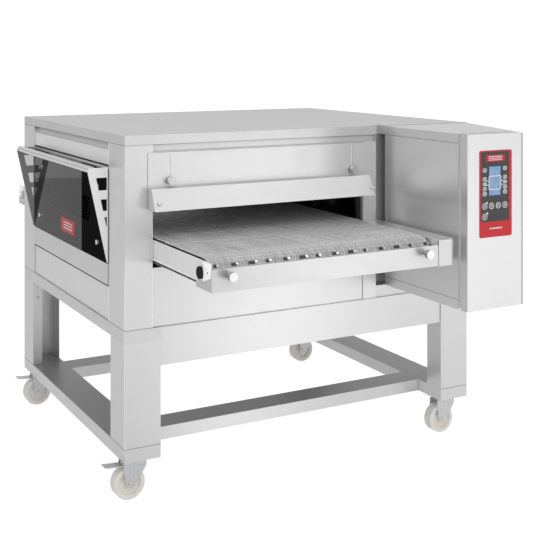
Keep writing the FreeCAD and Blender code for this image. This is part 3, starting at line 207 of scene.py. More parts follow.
def belt_streaks(shader):
    """Bright slanted streaks and cross lines where the belt's wires catch the light."""
    x, y = shader.axis(0), shader.axis(1)
    across = shader.sum("SUBTRACT", x, shader.sum("MULTIPLY", y, BELT_LEAN))
    line = shader.add("ShaderNodeCombineXYZ", i0=across, i1=shader.sum("MULTIPLY", y, 0.03))
    row = shader.add("ShaderNodeCombineXYZ", i0=shader.sum("MULTIPLY", x, 0.02), i1=y)
    streaks, rows = (
        shader.add("ShaderNodeTexNoise", i0=along.outputs[0], Scale=size, Detail=2.0).outputs["Fac"]
        for along, size in ((line, 150.0), (row, 60.0)))
    return shader.sum("MULTIPLY", shader.ramp(streaks, 0.35, 0.65, 0.8, 1.15),
                      shader.ramp(rows, 0.35, 0.7, 0.92, 1.1))


def brushed_steel(name, tone=0.62, grain="X", roughness=0.32, stain=0.0, matte=0.25, shade=None,
                  crease_shade=True):
    """Brushed stainless steel: fine grain along an axis, cloudy polish marks, faint stains and, if
    wanted, painted shade that darkens creases and corners. Matte is the share that scatters light instead
    of mirroring it."""
    shader = Shader(name)
    stretch = {"X": (0.01, 1, 1), "Y": (1, 0.01, 1), "Z": (1, 1, 0.01)}[grain]
    fine = shader.noise(stretch, 1600, 2)
    clouds = shader.noise((1, 1, 1), 3, 3)
    smears = shader.noise((1, 1, 1), 24, 4)
    light = shader.ramp(fine, 0.3, 0.7, 0.97, 1.02)
    cloudy = shader.ramp(clouds, 0.3, 0.7, 0.98 - stain, 1.01)
    level = shader.sum("MULTIPLY", light, cloudy)
    if crease_shade:
        # Painted shade: ambient occlusion darkens the colour in creases, corners and gaps.
        occlusion = shader.add("ShaderNodeAmbientOcclusion", {"samples": 6}, Distance=0.03).outputs["AO"]
        level = shader.sum("MULTIPLY", level, shader.ramp(occlusion, 0.2, 0.9, 0.7, 1.0))
    if shade:
        level = shader.sum("MULTIPLY", level, shade(shader))
    colour = shader.add("ShaderNodeVectorMath", {"operation": "SCALE"}, i0=grey(tone)[:3], Scale=level)
    rough = shader.sum("ADD", shader.ramp(fine, 0.3, 0.7, roughness - 0.03, roughness + 0.04),
                       shader.ramp(smears, 0.5, 0.8, 0.0, 0.05))
    shader.set(Base_Color=colour.outputs[0], Metallic=1.0 - matte, Roughness=rough)
    shader.bump(fine, 0.03, 0.0002)
    return shader.material


def polished_steel(name, tone=0.85):
    """Polished rod and stud steel with hair scratches."""
    shader = Shader(name)
    scratches = shader.noise((1, 0.05, 1), 1500, 2)
    shader.set(Base_Color=grey(tone), Metallic=1.0, Roughness=shader.ramp(scratches, 0.3, 0.8, 0.12, 0.26))
    shader.bump(scratches, 0.04, 0.0003)
    return shader.material


def zinc(name):
    """Zinc-plated pressed steel with a mottled grey bloom."""
    shader = Shader(name)
    bloom = shader.noise((1, 1, 1), 160, 4)
    colour = shader.mix(shader.ramp(bloom, 0.35, 0.7, 0, 1), grey(0.78), (0.66, 0.67, 0.69, 1))
    shader.set(Base_Color=colour, Metallic=0.8, Roughness=shader.ramp(bloom, 0.3, 0.7, 0.26, 0.42))
    shader.bump(bloom, 0.1, 0.0004)
    return shader.material


def nylon(name):
    """Off-white cast nylon with scuffs and specks."""
    shader = Shader(name)
    scuffs = shader.noise((1, 1, 1), 90, 5)
    specks = shader.noise((1, 1, 1), 900, 2)
    worn = shader.ramp(scuffs, 0.5, 0.8, 0, 0.7)
    shader.set(Base_Color=shader.mix(worn, (0.9, 0.86, 0.81, 1), (0.74, 0.69, 0.63, 1)),
               Roughness=shader.ramp(scuffs, 0.3, 0.7, 0.42, 0.6), Subsurface_Weight=0.05)
    shader.bump(specks, 0.12, 0.0004)
    return shader.material


def plastic(name, colour, roughness=0.5, glow=0.0):
    """Moulded or printed plastic with a fine pebble."""
    shader = Shader(name)
    pebble = shader.noise((1, 1, 1), 1400, 2)
    patch = shader.noise((1, 1, 1), 60, 3)
    darker = tuple(0.82 * channel for channel in colour[:3]) + (1,)
    mixed = shader.mix(shader.ramp(patch, 0.35, 0.7, 0, 1), colour, darker)
    shader.set(Base_Color=mixed,
               Roughness=shader.ramp(pebble, 0.3, 0.7, roughness - 0.06, roughness + 0.06))
    if glow:
        shader.set(Emission_Color=mixed, Emission_Strength=glow)
    shader.bump(pebble, 0.08, 0.0002)
    return shader.material


def bearing_plastic(name):
    """Black caps at the front and grey ones at the rear."""
    shader = Shader(name)
    pebble = shader.noise((1, 1, 1), 900, 2)
    rear = shader.sum("GREATER_THAN", shader.axis(1), 0.0)
    shader.set(Base_Color=shader.mix(rear, grey(0.012), grey(0.55)),
               Roughness=shader.ramp(pebble, 0.3, 0.7, 0.5, 0.62), Specular_IOR_Level=0.12)
    shader.bump(pebble, 0.08, 0.0002)
    return shader.material


def fibre_board(name):
    """Pressed mineral fibre."""
    shader = Shader(name)
    fibres = shader.noise((0.3, 1, 1), 400, 5)
    colour = shader.mix(fibres, (0.7, 0.66, 0.56, 1), (0.5, 0.46, 0.38, 1))
    shader.set(Base_Color=colour, Roughness=0.95)
    shader.bump(fibres, 0.6, 0.002)
    return shader.material


def circuit_board(name):
    """Green board with copper tracks."""
    shader = Shader(name)
    tracks = shader.add("ShaderNodeTexBrick", i0=shader.place(), Scale=60.0)
    tracks.inputs["Color1"].default_value = (0.01, 0.12, 0.04, 1)
    tracks.inputs["Color2"].default_value = (0.015, 0.16, 0.06, 1)
    tracks.inputs["Mortar"].default_value = (0.35, 0.3, 0.1, 1)
    shader.set(Base_Color=tracks.outputs["Color"], Roughness=0.35)
    return shader.material


def studio_reflection(shader):
    """Painted reflection: the share of the light that the glass mirrors in each direction, as if a black
    flag stood on one side of the lens axis and the backdrop were darker below its edge."""
    reflected = shader.add("ShaderNodeTexCoord").outputs["Reflection"]
    parts = shader.add("ShaderNodeSeparateXYZ", i0=reflected)
    turn = math.radians(CAMERA_YAW)
    ahead = dot(shader, parts, -math.sin(turn), math.cos(turn))
    aside = dot(shader, parts, -math.cos(turn), -math.sin(turn))
    sideways = shader.sum("DIVIDE", aside, ahead)
    down = shader.sum("DIVIDE", shader.sum("MULTIPLY", parts.outputs[2], -1.0), ahead)
    backdrop = shader.ramp(down, 0.1195, 0.1205, 1.0, 0.68)
    flag = shader.sum("MULTIPLY", shader.ramp(sideways, -0.1822, -0.1812, 0.0, 1.0),
                      shader.sum("LESS_THAN", sideways, 0.3))
    return shader.sum("MULTIPLY", backdrop, shader.ramp(flag, 0.0, 1.0, 1.0, 0.04))


def dot(shader, parts, x, y):
    """Level part of a direction along (x, y)."""
    return shader.sum("ADD", shader.sum("MULTIPLY", parts.outputs[0], x),
                      shader.sum("MULTIPLY", parts.outputs[1], y))


def door_glass(name):
    """Dark enamelled glass, clear only over the window, under a painted reflection."""
    shader = Shader(name)
    low = spot(0, 319, 817)
    high = spot(0, 778, 899)
    inside = 1.0
    for index, start, end in ((1, low.y, high.y), (2, low.z, high.z)):
        for operation, edge in (("GREATER_THAN", start), ("LESS_THAN", end)):
            inside = shader.sum("MULTIPLY", inside, shader.sum(operation, shader.axis(index), edge))
    haze = shader.noise((1, 1, 1), 14, 4)
    shader.set(Base_Color=(0.008, 0.008, 0.009, 1), Roughness=0.6, Specular_IOR_Level=0.0)
    clear = shader.add("ShaderNodeBsdfTransparent", Color=(0.75, 0.76, 0.77, 1))
    body = shader.add("ShaderNodeMixShader", i0=inside, i1=shader.surface.outputs[0], i2=clear.outputs[0])
    # Painted reflection: the glossy layer's colour comes from studio_reflection, not from the scene.
    mirrored = shader.add("ShaderNodeCombineColor")
    share = studio_reflection(shader)
    for index in range(3):
        shader.link(share, mirrored.inputs[index])
    gloss = shader.add("ShaderNodeBsdfGlossy", Color=mirrored.outputs[0],
                       Roughness=shader.ramp(haze, 0.3, 0.8, 0.01, 0.04))
    fresnel = shader.add("ShaderNodeFresnel", IOR=1.5)
    whole = shader.add("ShaderNodeMixShader", i0=fresnel.outputs[0], i1=body.outputs[0],
                       i2=gloss.outputs[0])
    shader.link(whole.outputs[0], shader.output.inputs[0])
    return shader.material


MATERIALS = {
    "sheet_x": brushed_steel("steel_grain_x", 0.80, "X", 0.34),
    "sheet_y": brushed_steel("steel_grain_y", 0.76, "Y", 0.36),
    "panel": brushed_steel("end_panel_steel", 0.80, "X", 0.34, shade=throat_shade),
    "tray": brushed_steel("tray_steel", 0.68, "X", 0.34, shade=knob_light_and_shade),
    # Whiter, mostly matte copy of the steel: painted light on the near handle bracket; bracket_shade paints
    # shade on the far one.
    "bracket": brushed_steel("bracket_steel", 1.0, "Z", 0.5, matte=0.9, shade=bracket_shade, crease_shade=False),
    "header": brushed_steel("header_steel", 1.0, "Y", 0.36, shade=header_shade, crease_shade=False),
    "housing": brushed_steel("housing_steel", 0.86, "Y", 0.36, crease_shade=False),
    # Brighter, more matte copy of the steel: painted light on the conveyor rails.
    "rail": brushed_steel("rail_steel", 1.0, "Y", 0.4, matte=0.5, crease_shade=False),
    "stand": brushed_steel("stand_steel", 0.80, "Z", 0.38),
    "low_rail": brushed_steel("low_rail_steel", 0.80, "Y", 0.38, shade=upward_shade),
    "bearing": bearing_plastic("bearing_caps"),
    "seam": plastic("seam_shadow", grey(0.06), 0.6),
    # Glowing pale plastic: painted highlights on folded edges, behind bolt slots and on the rail end
    # plates.
    "highlight": plastic("painted_highlight_glow", grey(0.9), 0.3, glow=0.35),
    "mat": brushed_steel("belt_mat", 0.5, "X", 0.5, matte=0.6, shade=belt_streaks, crease_shade=False),
    # Dark steel in the baking chamber, jet fingers and fan: partly baked-on soot, partly painted shade for
    # the closed chamber's darkness.
    "chamber": brushed_steel("soot_and_shade_steel", 0.22, "Y", 0.45, stain=0.15),
    "polished": polished_steel("polished_steel"),
    "satin": brushed_steel("satin_steel", 0.66, "Z", 0.3, matte=0.1),
    "wire": brushed_steel("belt_wire", 0.72, "Y", 0.4, matte=0.6, shade=belt_streaks, crease_shade=False),
    "sprocket": brushed_steel("sprocket_steel", 0.2, "X", 0.4, stain=0.1),
    "zinc": zinc("zinc_plate"),
    "nylon": nylon("nylon_wheel"),
    "black": plastic("black_plastic", (0.012, 0.012, 0.013, 1), 0.45),
    "fibre": fibre_board("fibre_board"),
    "board": circuit_board("circuit_board"),
    "motor": plastic("motor_enamel", (0.05, 0.07, 0.09, 1), 0.4),
    "element": brushed_steel("element_sheath", 0.12, "X", 0.5, stain=0.3),
    "glass": door_glass("enamelled_glass"),
    "red": plastic("red_film", (0.62, 0.008, 0.018, 1), 0.38),
    "dark_film": plastic("dark_film", (0.045, 0.045, 0.047, 1), 0.42),
    "white_print": plastic("white_print", (0.82, 0.82, 0.82, 1), 0.5),
    "display": plastic("display_glow", (0.22, 0.36, 0.60, 1), 0.2, glow=0.08),
}

FINISH = {
    "stand": ["stand_legs"],
    "sheet_x": ["crossbars", "hood_front", "hood_rear", "control_panel", "corner_posts"],
    "sheet_y": ["top_cover", "top_side_rails", "right_side_panel", "door_frame", "base_pan"],
    "header": ["left_side_panels"],
    "housing": ["control_housing"],
    "rail": ["conveyor_rails"],
    "panel": ["front_panel", "rear_panel"],
    "tray": ["crumb_tray_front", "crumb_tray_rear", "drive_covers"],
    "bracket": ["handle_brackets"],
    "low_rail": ["bottom_side_rails", "bottom_cross_rails"],
    "bearing": ["shaft_bearings"],
    "chamber": ["baking_chamber", "air_jet_fingers", "fan_wheel"],
    "polished": ["handle_bar", "glass_studs", "belt_support_rods", "drive_coupling", "door_hinges"],
    "satin": ["clamp_knob_front_left", "clamp_knob_front_right", "clamp_knob_rear_left",
              "clamp_knob_rear_right"],
    "wire": ["wire_belt"],
    "sprocket": ["drive_shaft", "idler_shaft"],
    "zinc": ["caster_plates", "caster_bolts", "caster_fork_front_left", "caster_fork_front_right",
             "caster_fork_rear_left", "caster_fork_rear_right", "brake_pedal_front_left",
             "brake_pedal_rear_left"],
    "nylon": ["caster_wheel_front_left", "caster_wheel_front_right", "caster_wheel_rear_left",
              "caster_wheel_rear_right"],
    "black": ["cable_gland", "cooling_fan"],
    "fibre": ["insulation"],
    "board": ["controller_board"],
    "motor": ["fan_motor", "gear_motor"],
    "element": ["heating_elements"],
    "glass": ["door_glass"],
    "dark_film": ["keypad"],
    "display": ["display_lens"],
}


def finish_nodes():
    """Give every CAD node its material and a small worn edge."""
    for look, names in FINISH.items():
        for name in names:
            thing = nodes[name]
            thing.data.materials.clear()
            thing.data.materials.append(MATERIALS[look])
            edge = thing.modifiers.new("worn_edge", "BEVEL")
            edge.width = 0.0006
            edge.segments = 2
            edge.limit_method = "ANGLE"
            edge.angle_limit = math.radians(35)


# ---------------------------------------------------------------- mesh helpers

def piece(name, vertices, faces, look, body, smooth=False):
    """A new piece of the object that rides on a body."""
    mesh = bpy.data.meshes.new(name)
    mesh.from_pydata([tuple(v) for v in vertices], [], faces)
    mesh.update()
    if smooth:
        mesh.polygons.foreach_set("use_smooth", [True] * len(mesh.polygons))
    thing = bpy.data.objects.new(name, mesh)
    bpy.context.scene.collection.objects.link(thing)
    mesh.materials.append(MATERIALS[look])
    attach(thing, body)
    return thing


class Mesh:
    """Vertices and faces gathered before they become one piece."""

    def __init__(self):
        self.vertices = []
        self.faces = []

    def add(self, vertices, faces):
        start = len(self.vertices)
        self.vertices.extend(vertices)
        self.faces.extend(tuple(start + index for index in face) for face in faces)

    def tube(self, path, radius, sides=8, closed=False, capped=True):
        """A round wire along a path."""
        rings = []
        count = len(path)
        for index, point in enumerate(path):
            before = path[(index - 1) % count] if closed or index else point
            after = path[(index + 1) % count] if closed or index < count - 1 else point
            along = (after - before).normalized()
            side = along.cross(Vector((0, 0, 1)))
            if side.length < 1e-4:
                side = along.cross(Vector((0, 1, 0)))
            side.normalize()
            up = side.cross(along)
            ring = []
            for step in range(sides):
                angle = 2 * math.pi * step / sides
                ring.append(point + radius * (math.cos(angle) * side + math.sin(angle) * up))
            rings.append(ring)
        faces = []
        last = count if closed else count - 1
        for index in range(last):
            base, following = index * sides, ((index + 1) % count) * sides
            for step in range(sides):
                turn = (step + 1) % sides
                faces.append((base + step, base + turn, following + turn, following + step))
        if capped and not closed:
            faces.append(tuple(range(sides - 1, -1, -1)))
            faces.append(tuple(range((count - 1) * sides, count * sides)))
        self.add([point for ring in rings for point in ring], faces)

    def plate(self, outline, thickness):
        """A flat plate: an outline of points, thickened along a vector."""
        count = len(outline)
        front = [point + thickness for point in outline]
        faces = [tuple(range(count)), tuple(range(2 * count - 1, count - 1, -1))]
        for index in range(count):
            following = (index + 1) % count
            faces.append((following, index, index + count, following + count))
        self.add(list(outline) + front, faces)

    def block(self, low, high):
        """A box between two corners in millimetres."""
        corners = [spot(x, y, z) for z in (low[2], high[2]) for y in (low[1], high[1])
                   for x in (low[0], high[0])]
        self.add(corners, [(0, 2, 3, 1), (4, 5, 7, 6), (0, 1, 5, 4), (1, 3, 7, 5), (3, 2, 6, 7),
                           (2, 0, 4, 6)])

    def piece(self, name, look, body, smooth=False):
        return piece(name, self.vertices, self.faces, look, body, smooth)


def rounded_outline(left, right, low, high, radius, steps=6):
    """Corner-rounded rectangle as (across, up) pairs, anticlockwise."""
    points = []
    corners = ((right - radius, low + radius, -90), (right - radius, high - radius, 0),
               (left + radius, high - radius, 90), (left + radius, low + radius, 180))
    for centre_x, centre_z, start in corners:
        for step in range(steps + 1):
            angle = math.radians(start + 90 * step / steps)
            points.append((centre_x + radius * math.cos(angle), centre_z + radius * math.sin(angle)))
    return points


# ---------------------------------------------------------------- wire belt

HALF_BELT = 2  # half of the belt's thickness


def belt_radius():
    """Radius of the loop's middle line at its ends, in mm."""
    low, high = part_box("wire_belt")
    return (high.z - low.z) / 2 / MM - HALF_BELT


def belt_point(along, lift):
    """Point (y, z) on the belt's loop at a distance along it, lifted off its middle line, in mm."""
    low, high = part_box("wire_belt")
    radius = belt_radius()
    middle = (high.z + low.z) / 2 / MM
    start = (low.y - CORNER.y) / MM + radius + HALF_BELT
    end = (high.y - CORNER.y) / MM - radius - HALF_BELT
    straight = end - start
    half = math.pi * radius
    along %= 2 * (straight + half)
    if along < straight:
        return start + along, middle + radius + lift
    along -= straight
    if along < half:
        angle = along / radius
        return end + (radius + lift) * math.sin(angle), middle + (radius + lift) * math.cos(angle)
    along -= half
    if along < straight:
        return end - along, middle - radius - lift
    angle = (along - straight) / radius
    return start - (radius + lift) * math.sin(angle), middle - (radius + lift) * math.cos(angle)


def belt_length():
    """Length of the loop's middle line in mm."""
    low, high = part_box("wire_belt")
    radius = belt_radius()
    straight = (high.y - low.y) / MM - 2 * (radius + HALF_BELT)
    return 2 * straight + 2 * math.pi * radius


def wire_belt():
    """Woven belt: cross rods, every eighth one thicker, with strands of triangular section between them
    that all lean one way."""
    low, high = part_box("wire_belt")
    left = (low.x - CORNER.x) / MM + 1
    right = (high.x - CORNER.x) / MM - 1
    length = belt_length()
    rod_pitch = 15
    rows = round(length / rod_pitch)
    pitch = length / rows
    strands = 72
    step = (right - left) / strands
    lean = -BELT_LEAN * pitch
    half_strand = 1.7
    mesh = Mesh()
    for row in range(rows):
        y, z = belt_point(row * pitch, 0.2)
        mesh.tube([spot(left, y, z), spot(right, y, z)], 0.0014 if row % 8 else 0.0019, 6)
        ends = [(belt_point((row + share) * pitch, 0.4), belt_point((row + share) * pitch, 2.0), share)
                for share in (0.06, 0.94)]
        for strand in range(strands):
            x = left + ((strand + 0.5) * step + row * lean) % (right - left - 4) + 1
            if x + lean > right - 2:
                continue
            corners = []
            for (y, z), (top_y, top_z), share in ends:
                middle = x + share * lean
                corners += [spot(middle - half_strand, y, z), spot(middle, top_y, top_z),
                            spot(middle + half_strand, y, z)]
            mesh.add(corners, [(0, 1, 4, 3), (1, 2, 5, 4), (2, 0, 3, 5), (0, 2, 1), (3, 4, 5)])
    belt = mesh.piece("woven_belt", "wire", "oven")
    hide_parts("wire_belt")
    belt_mat(left, right)
    sprocket_marks(left, right)


def belt_mat(left, right):
    """The fine wires between the strands as one thin closed band."""
    length = belt_length()
    steps = 240
    mat = Mesh()
    vertices = []
    for step in range(steps):
        for lift in (-0.9, -0.3):
            y, z = belt_point(step * length / steps, lift)
            vertices += [spot(left + 1, y, z), spot(right - 1, y, z)]
    faces = []
    for step in range(steps):
        here, there = 4 * step, 4 * ((step + 1) % steps)
        faces += [(here, here + 1, there + 1, there), (here + 2, there + 2, there + 3, here + 3),
                  (here, there, there + 2, here + 2), (here + 1, here + 3, there + 3, there + 1)]
    mat.add(vertices, faces)
    mat.piece("belt_mat", "mat", "oven")


def sprocket_marks(left, right):
    """Painted shade in the belt's end openings as dark plates, with bright sprocket tips beside them, in a
    row across each end of the belt.
    """
    length = belt_length()
    opening_shade = Mesh()
    tips = Mesh()
    count = 14
    half_turn = math.pi * 40
    from_straight = 0.31 * half_turn
    for end in (length - from_straight, length / 2 - half_turn + from_straight):
        for number in range(count):
            x = left + 14 + number * (right - left - 34) / (count - 1)
            width = 9 + 5 * (number % 3)
            arc_plate(opening_shade, x, x + width, end - 5, end + 4, 2.1)
            arc_plate(tips, x + width + 1, x + width + 8, end - 2, end + 3, 2.2)
    opening_shade.piece("sprocket_opening_shade", "seam", "oven")
    tips.piece("sprocket_tips", "polished", "oven")


def arc_plate(mesh, left, right, start, end, lift):
    """A small plate that follows the belt's loop."""
    vertices = []
    for along in (start, (start + end) / 2, end):
        for height in (lift - 0.5, lift):
            y, z = belt_point(along, height)
            vertices += [spot(left, y, z), spot(right, y, z)]
    faces = [(0, 2, 3, 1), (8, 9, 11, 10)]
    for base in (0, 4):
        faces += [(base, base + 1, base + 5, base + 4), (base + 2, base + 6, base + 7, base + 3),
                  (base, base + 4, base + 6, base + 2), (base + 1, base + 3, base + 7, base + 5)]
    mesh.add(vertices, faces)


# ---------------------------------------------------------------- keypad

def on_keypad(across, up, lift):
    """Point on the keypad: shares of its width and height from its lower left corner, lift in mm."""
    low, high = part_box("keypad")
    return Vector((low.x + across * (high.x - low.x), high.y - lift * MM, low.z + up * (high.z - low.z)))


def keypad_size():
    """Width and height of the CAD keypad in metres."""
    low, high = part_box("keypad")
    return high.x - low.x, high.z - low.z


def keypad_plate(mesh, left, right, low, high, radius, lift, thick=0.25):
    """Rounded plate on the keypad. Radius is a share of the keypad's width."""
    width, height = keypad_size()
    outline = rounded_outline(left * width, right * width, low * height, high * height, radius * width)
    points = [on_keypad(across / width, up / height, lift) for across, up in outline]
    mesh.plate(points, Vector((0, -thick * MM, 0)))


def keypad_ring(mesh, across, up, wide, tall, line=0.016, lift=1.75, rounding=0.45):
    """A printed outline of a key."""
    width, height = keypad_size()
    radius = rounding * min(wide * width, tall * height)
    rings = []
    for inset in (0, line * width):
        outline = rounded_outline(across * width - wide * width / 2 + inset,
                                  across * width + wide * width / 2 - inset,
                                  up * height - tall * height / 2 + inset,
                                  up * height + tall * height / 2 - inset, max(radius - inset, 0.0003))
        rings.append([on_keypad(x / width, z / height, lift) for x, z in outline])
    outer, inner = rings
    count = len(outer)
    thick = Vector((0, -0.1 * MM, 0))
    vertices = outer + inner + [point + thick for point in outer] + [point + thick for point in inner]
    faces = []
    for index in range(count):
        following = (index + 1) % count
        faces.append((index, following, following + count, index + count))
        faces.append((index + 2 * count, index + 3 * count, following + 3 * count, following + 2 * count))
        faces.append((index, index + 2 * count, following + 2 * count, following))
        faces.append((index + count, following + count, following + 3 * count, index + 3 * count))
    mesh.add(vertices, faces)


def key(mesh, across, up, wide, tall, mark_wide, mark_tall):
    """A key's outline with a small ring in it as its symbol."""
    keypad_ring(mesh, across, up, wide, tall)
    keypad_ring(mesh, across, up, mark_wide, mark_tall, 0.014)


def keypad_print():
    """White print: two columns of keys, a frame around the screen, and round keys under it."""
    left_keys, right_keys, round_row = 0.152, 0.782, 0.362
    mesh = Mesh()
    for index, up in enumerate((0.775, 0.672, 0.617, 0.560, 0.503)):
        tall = 0.048 if index != 2 else 0.038
        for across, row in ((left_keys, up), (right_keys, up + 0.012)):
            key(mesh, across, row, 0.125, tall, 0.055, tall * 0.45)
    keypad_ring(mesh, 0.466, 0.626, 0.385, 0.165, 0.022, 1.95, 0.1)
    for across, up in ((0.155, round_row), (0.362, round_row), (0.575, round_row), (0.782, round_row),
                       (0.155, 0.240)):
        key(mesh, across, up, 0.150, 0.072, 0.070, 0.034)
    for up in (0.648, 0.602):
        for left, right in ((0.205, 0.275), (0.657, 0.727)):
            keypad_plate(mesh, left, right, up - 0.004, up + 0.004, 0.002, 1.7, 0.15)
    for across, up in ((0.225, 0.397), (0.235, 0.277)):
        arrow = [on_keypad(across - 0.045, up + 0.008, 1.7), on_keypad(across + 0.02, up - 0.016, 1.7),
                 on_keypad(across + 0.02, up + 0.016, 1.7)]
        mesh.plate(arrow, Vector((0, -0.15 * MM, 0)))
    mesh.piece("keypad_print", "white_print", "oven")


def keypad_marks():
    """A plain red plate with three bars at the top and one bar at the bottom, in place of words."""
    plate = Mesh()
    keypad_plate(plate, 0.19, 0.78, 0.872, 0.948, 0.03, 1.5, 0.1)
    plate.piece("keypad_badge", "red", "oven")
    bars = Mesh()
    for number in range(3):
        up = 0.89 + number * 0.020
        keypad_plate(bars, 0.27, 0.70, up - 0.004, up + 0.004, 0.008, 1.6, 0.12)
    keypad_plate(bars, 0.30, 0.70, 0.092, 0.108, 0.02, 1.25, 0.12)
    bars.piece("keypad_marks", "white_print", "oven")


def keypad():
    """Film and screen in place of the CAD keypad and lens, with a dark field and the print between."""
    film = Mesh()
    keypad_plate(film, 0, 1, 0, 1, 0.045, 0, 1.2)
    base = film.piece("keypad_film", "red", "oven")
    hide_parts("keypad")
    field = Mesh()
    keypad_plate(field, 0.045, 0.915, 0.178, 0.985, 0.03, 1.2)
    field.piece("keypad_field", "dark_film", "oven")
    screen = Mesh()
    keypad_plate(screen, 0.292, 0.640, 0.483, 0.813, 0.004, 1.45)
    glass = screen.piece("keypad_screen", "display", "oven")
    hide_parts("display_lens")
    keypad_print()
    keypad_marks()


# ---------------------------------------------------------------- badge, small hardware, painted shade lines and highlights

def door_badge():
    """Plain red plate with three bars on the door glass."""
    face = (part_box("door_glass")[0].x - CORNER.x) / MM
    plate = Mesh()
    outline = rounded_outline(472, 624, 745, 793, 10)
    plate.plate([spot(face, y, z) for y, z in outline], Vector((-0.0008, 0, 0)))
    plate.piece("door_badge", "red", "side_door")
    bars = Mesh()
    for number in range(3):
        low = 757 + number * 10
        outline = rounded_outline(500, 596, low, low + 4, 2, 3)
        bars.plate([spot(face - 0.8, y, z) for y, z in outline], Vector((-0.0003, 0, 0)))
    bars.piece("door_badge_bars", "white_print", "side_door")


def dome(mesh, centre, normal, radius, height, sides=20, rings=4):
    """A low screw head on a surface."""
    axis = normal.normalized()
    side = axis.orthogonal().normalized()
    other = axis.cross(side)
    vertices = []
    for ring in range(rings + 1):
        angle = math.pi / 2 * ring / rings
        for step in range(sides):
            turn = 2 * math.pi * step / sides
            spread = radius * math.cos(angle) if ring < rings else radius * 0.02
            vertices.append(centre + spread * (math.cos(turn) * side + math.sin(turn) * other)
                            + axis * height * math.sin(angle))
    faces = []
    for ring in range(rings):
        for step in range(sides):
            turn = (step + 1) % sides
            base, following = ring * sides, (ring + 1) * sides
            faces.append((base + step, base + turn, following + turn, following + step))
    faces.append(tuple(range(rings * sides, (rings + 1) * sides)))
    faces.append(tuple(range(sides - 1, -1, -1)))
    mesh.add(vertices, faces)


def hood_screws():
    """Small domed screws near the ends of each hood."""
    for end, body, side in (("front", "hood_front", -1), ("rear", "hood_rear", 1)):
        mesh = Mesh()
        for x in (91, 863):
            y = -57 if side < 0 else BODY_DEPTH + 57
            normal = Vector((0, side * 0.84, 0.54))
            dome(mesh, spot(x, y, 918), normal, 0.0055, 0.002)
        mesh.piece("hood_screws_" + end, "polished", body, smooth=True)


def both_ends(y):
    """A place in front of the body and its mirror image behind it."""
    return y, BODY_DEPTH - y


def seams():
    """Painted shade in the joints and gaps between the sheets, as thin dark lines that stand slightly
    proud.
    """
    mesh = Mesh()
    for low, high in ((BODY_BASE - 0.6, BODY_BASE + 0.4), (COVER_BASE - 0.4, COVER_BASE + 0.4)):
        mesh.block((0, -0.4, low), (BODY_WIDTH, 0.2, high))
        mesh.block((-0.4, 0, low), (0.2, BODY_DEPTH, high))
    for z in (COVER_BASE - 1, 600):
        mesh.block((BOX_LEFT - 0.4, BOX_FRONT, z - 0.5), (BOX_LEFT + 0.2, 0, z + 0.5))
    low, high = LEG_FOOT - 0.5, LEG_FOOT + 0.5
    for near, far in ((-0.4, 0.2), (BODY_DEPTH - 0.2, BODY_DEPTH + 0.4)):
        for left, right in ((0, LEG_WIDTH), (BODY_WIDTH - LEG_WIDTH, BODY_WIDTH)):
            mesh.block((left, near, low), (right, far, high))
    for near, far in ((0, LEG_DEPTH), (BODY_DEPTH - LEG_DEPTH, BODY_DEPTH)):
        mesh.block((-0.4, near, low), (0.2, far, high))
    tray_right = (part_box("crumb_tray_front")[1].x - CORNER.x) / MM
    mesh.block((tray_right - 0.5, -418.6, 720), (tray_right + 0.7, -417, 796))
    mesh.block((1171.5, -442.5, 572), (1174.4, -411, 1116))
    mesh.piece("gap_shade_lines", "seam", "oven")


def painted_highlights():
    """Painted highlights as glowing strips: on the posts' inner folded edges, the left front corner, and
    behind the hood's bolt slots.
    """
    mesh = Mesh()
    mesh.block((POST_FRONT - 1.5, -0.4, BODY_BASE + 1), (POST_FRONT, 0.2, COVER_BASE - 1))
    for low, high in ((BODY_BASE + 1, 636), (1020, COVER_BASE - 1)):
        mesh.block((-0.4, POST_SIDE - 1.2, low), (0.2, POST_SIDE, high))
    for low, high in ((LEG_FOOT + 1, BODY_BASE - 1), (BODY_BASE + 1, 700)):
        mesh.block((-0.4, -0.4, low), (0.4, 0.4, high))
    for stud in HOOD_STUDS:
        mesh.block((stud - 4, 2.2, 985), (stud + 4, 2.8, 1062))
    mesh.piece("edge_highlight_glow", "highlight", "oven")


def rail_ends():
    """End plates beside the shaft bearings on the left rail, bright with a painted highlight glow, each
    with one small rivet.
    """
    outline = [(-365, 743), (-365, 797), (-413, 797), (-413, 759)]
    ends = Mesh()
    rivets = Mesh()
    for end in (0, 1):
        corners = [spot(91.7, both_ends(y)[end], z) for y, z in outline]
        ends.plate(corners if end else corners[::-1], Vector((-0.4 * MM, 0, 0)))
        y = both_ends(-392)[end]
        rivets.block((90.9, y - 2.5, 767), (91.4, y + 2.5, 772))
    ends.piece("rail_end_plates", "highlight", "oven")
    rivets.piece("rail_end_rivets", "seam", "oven")


# ---------------------------------------------------------------- room, light and camera

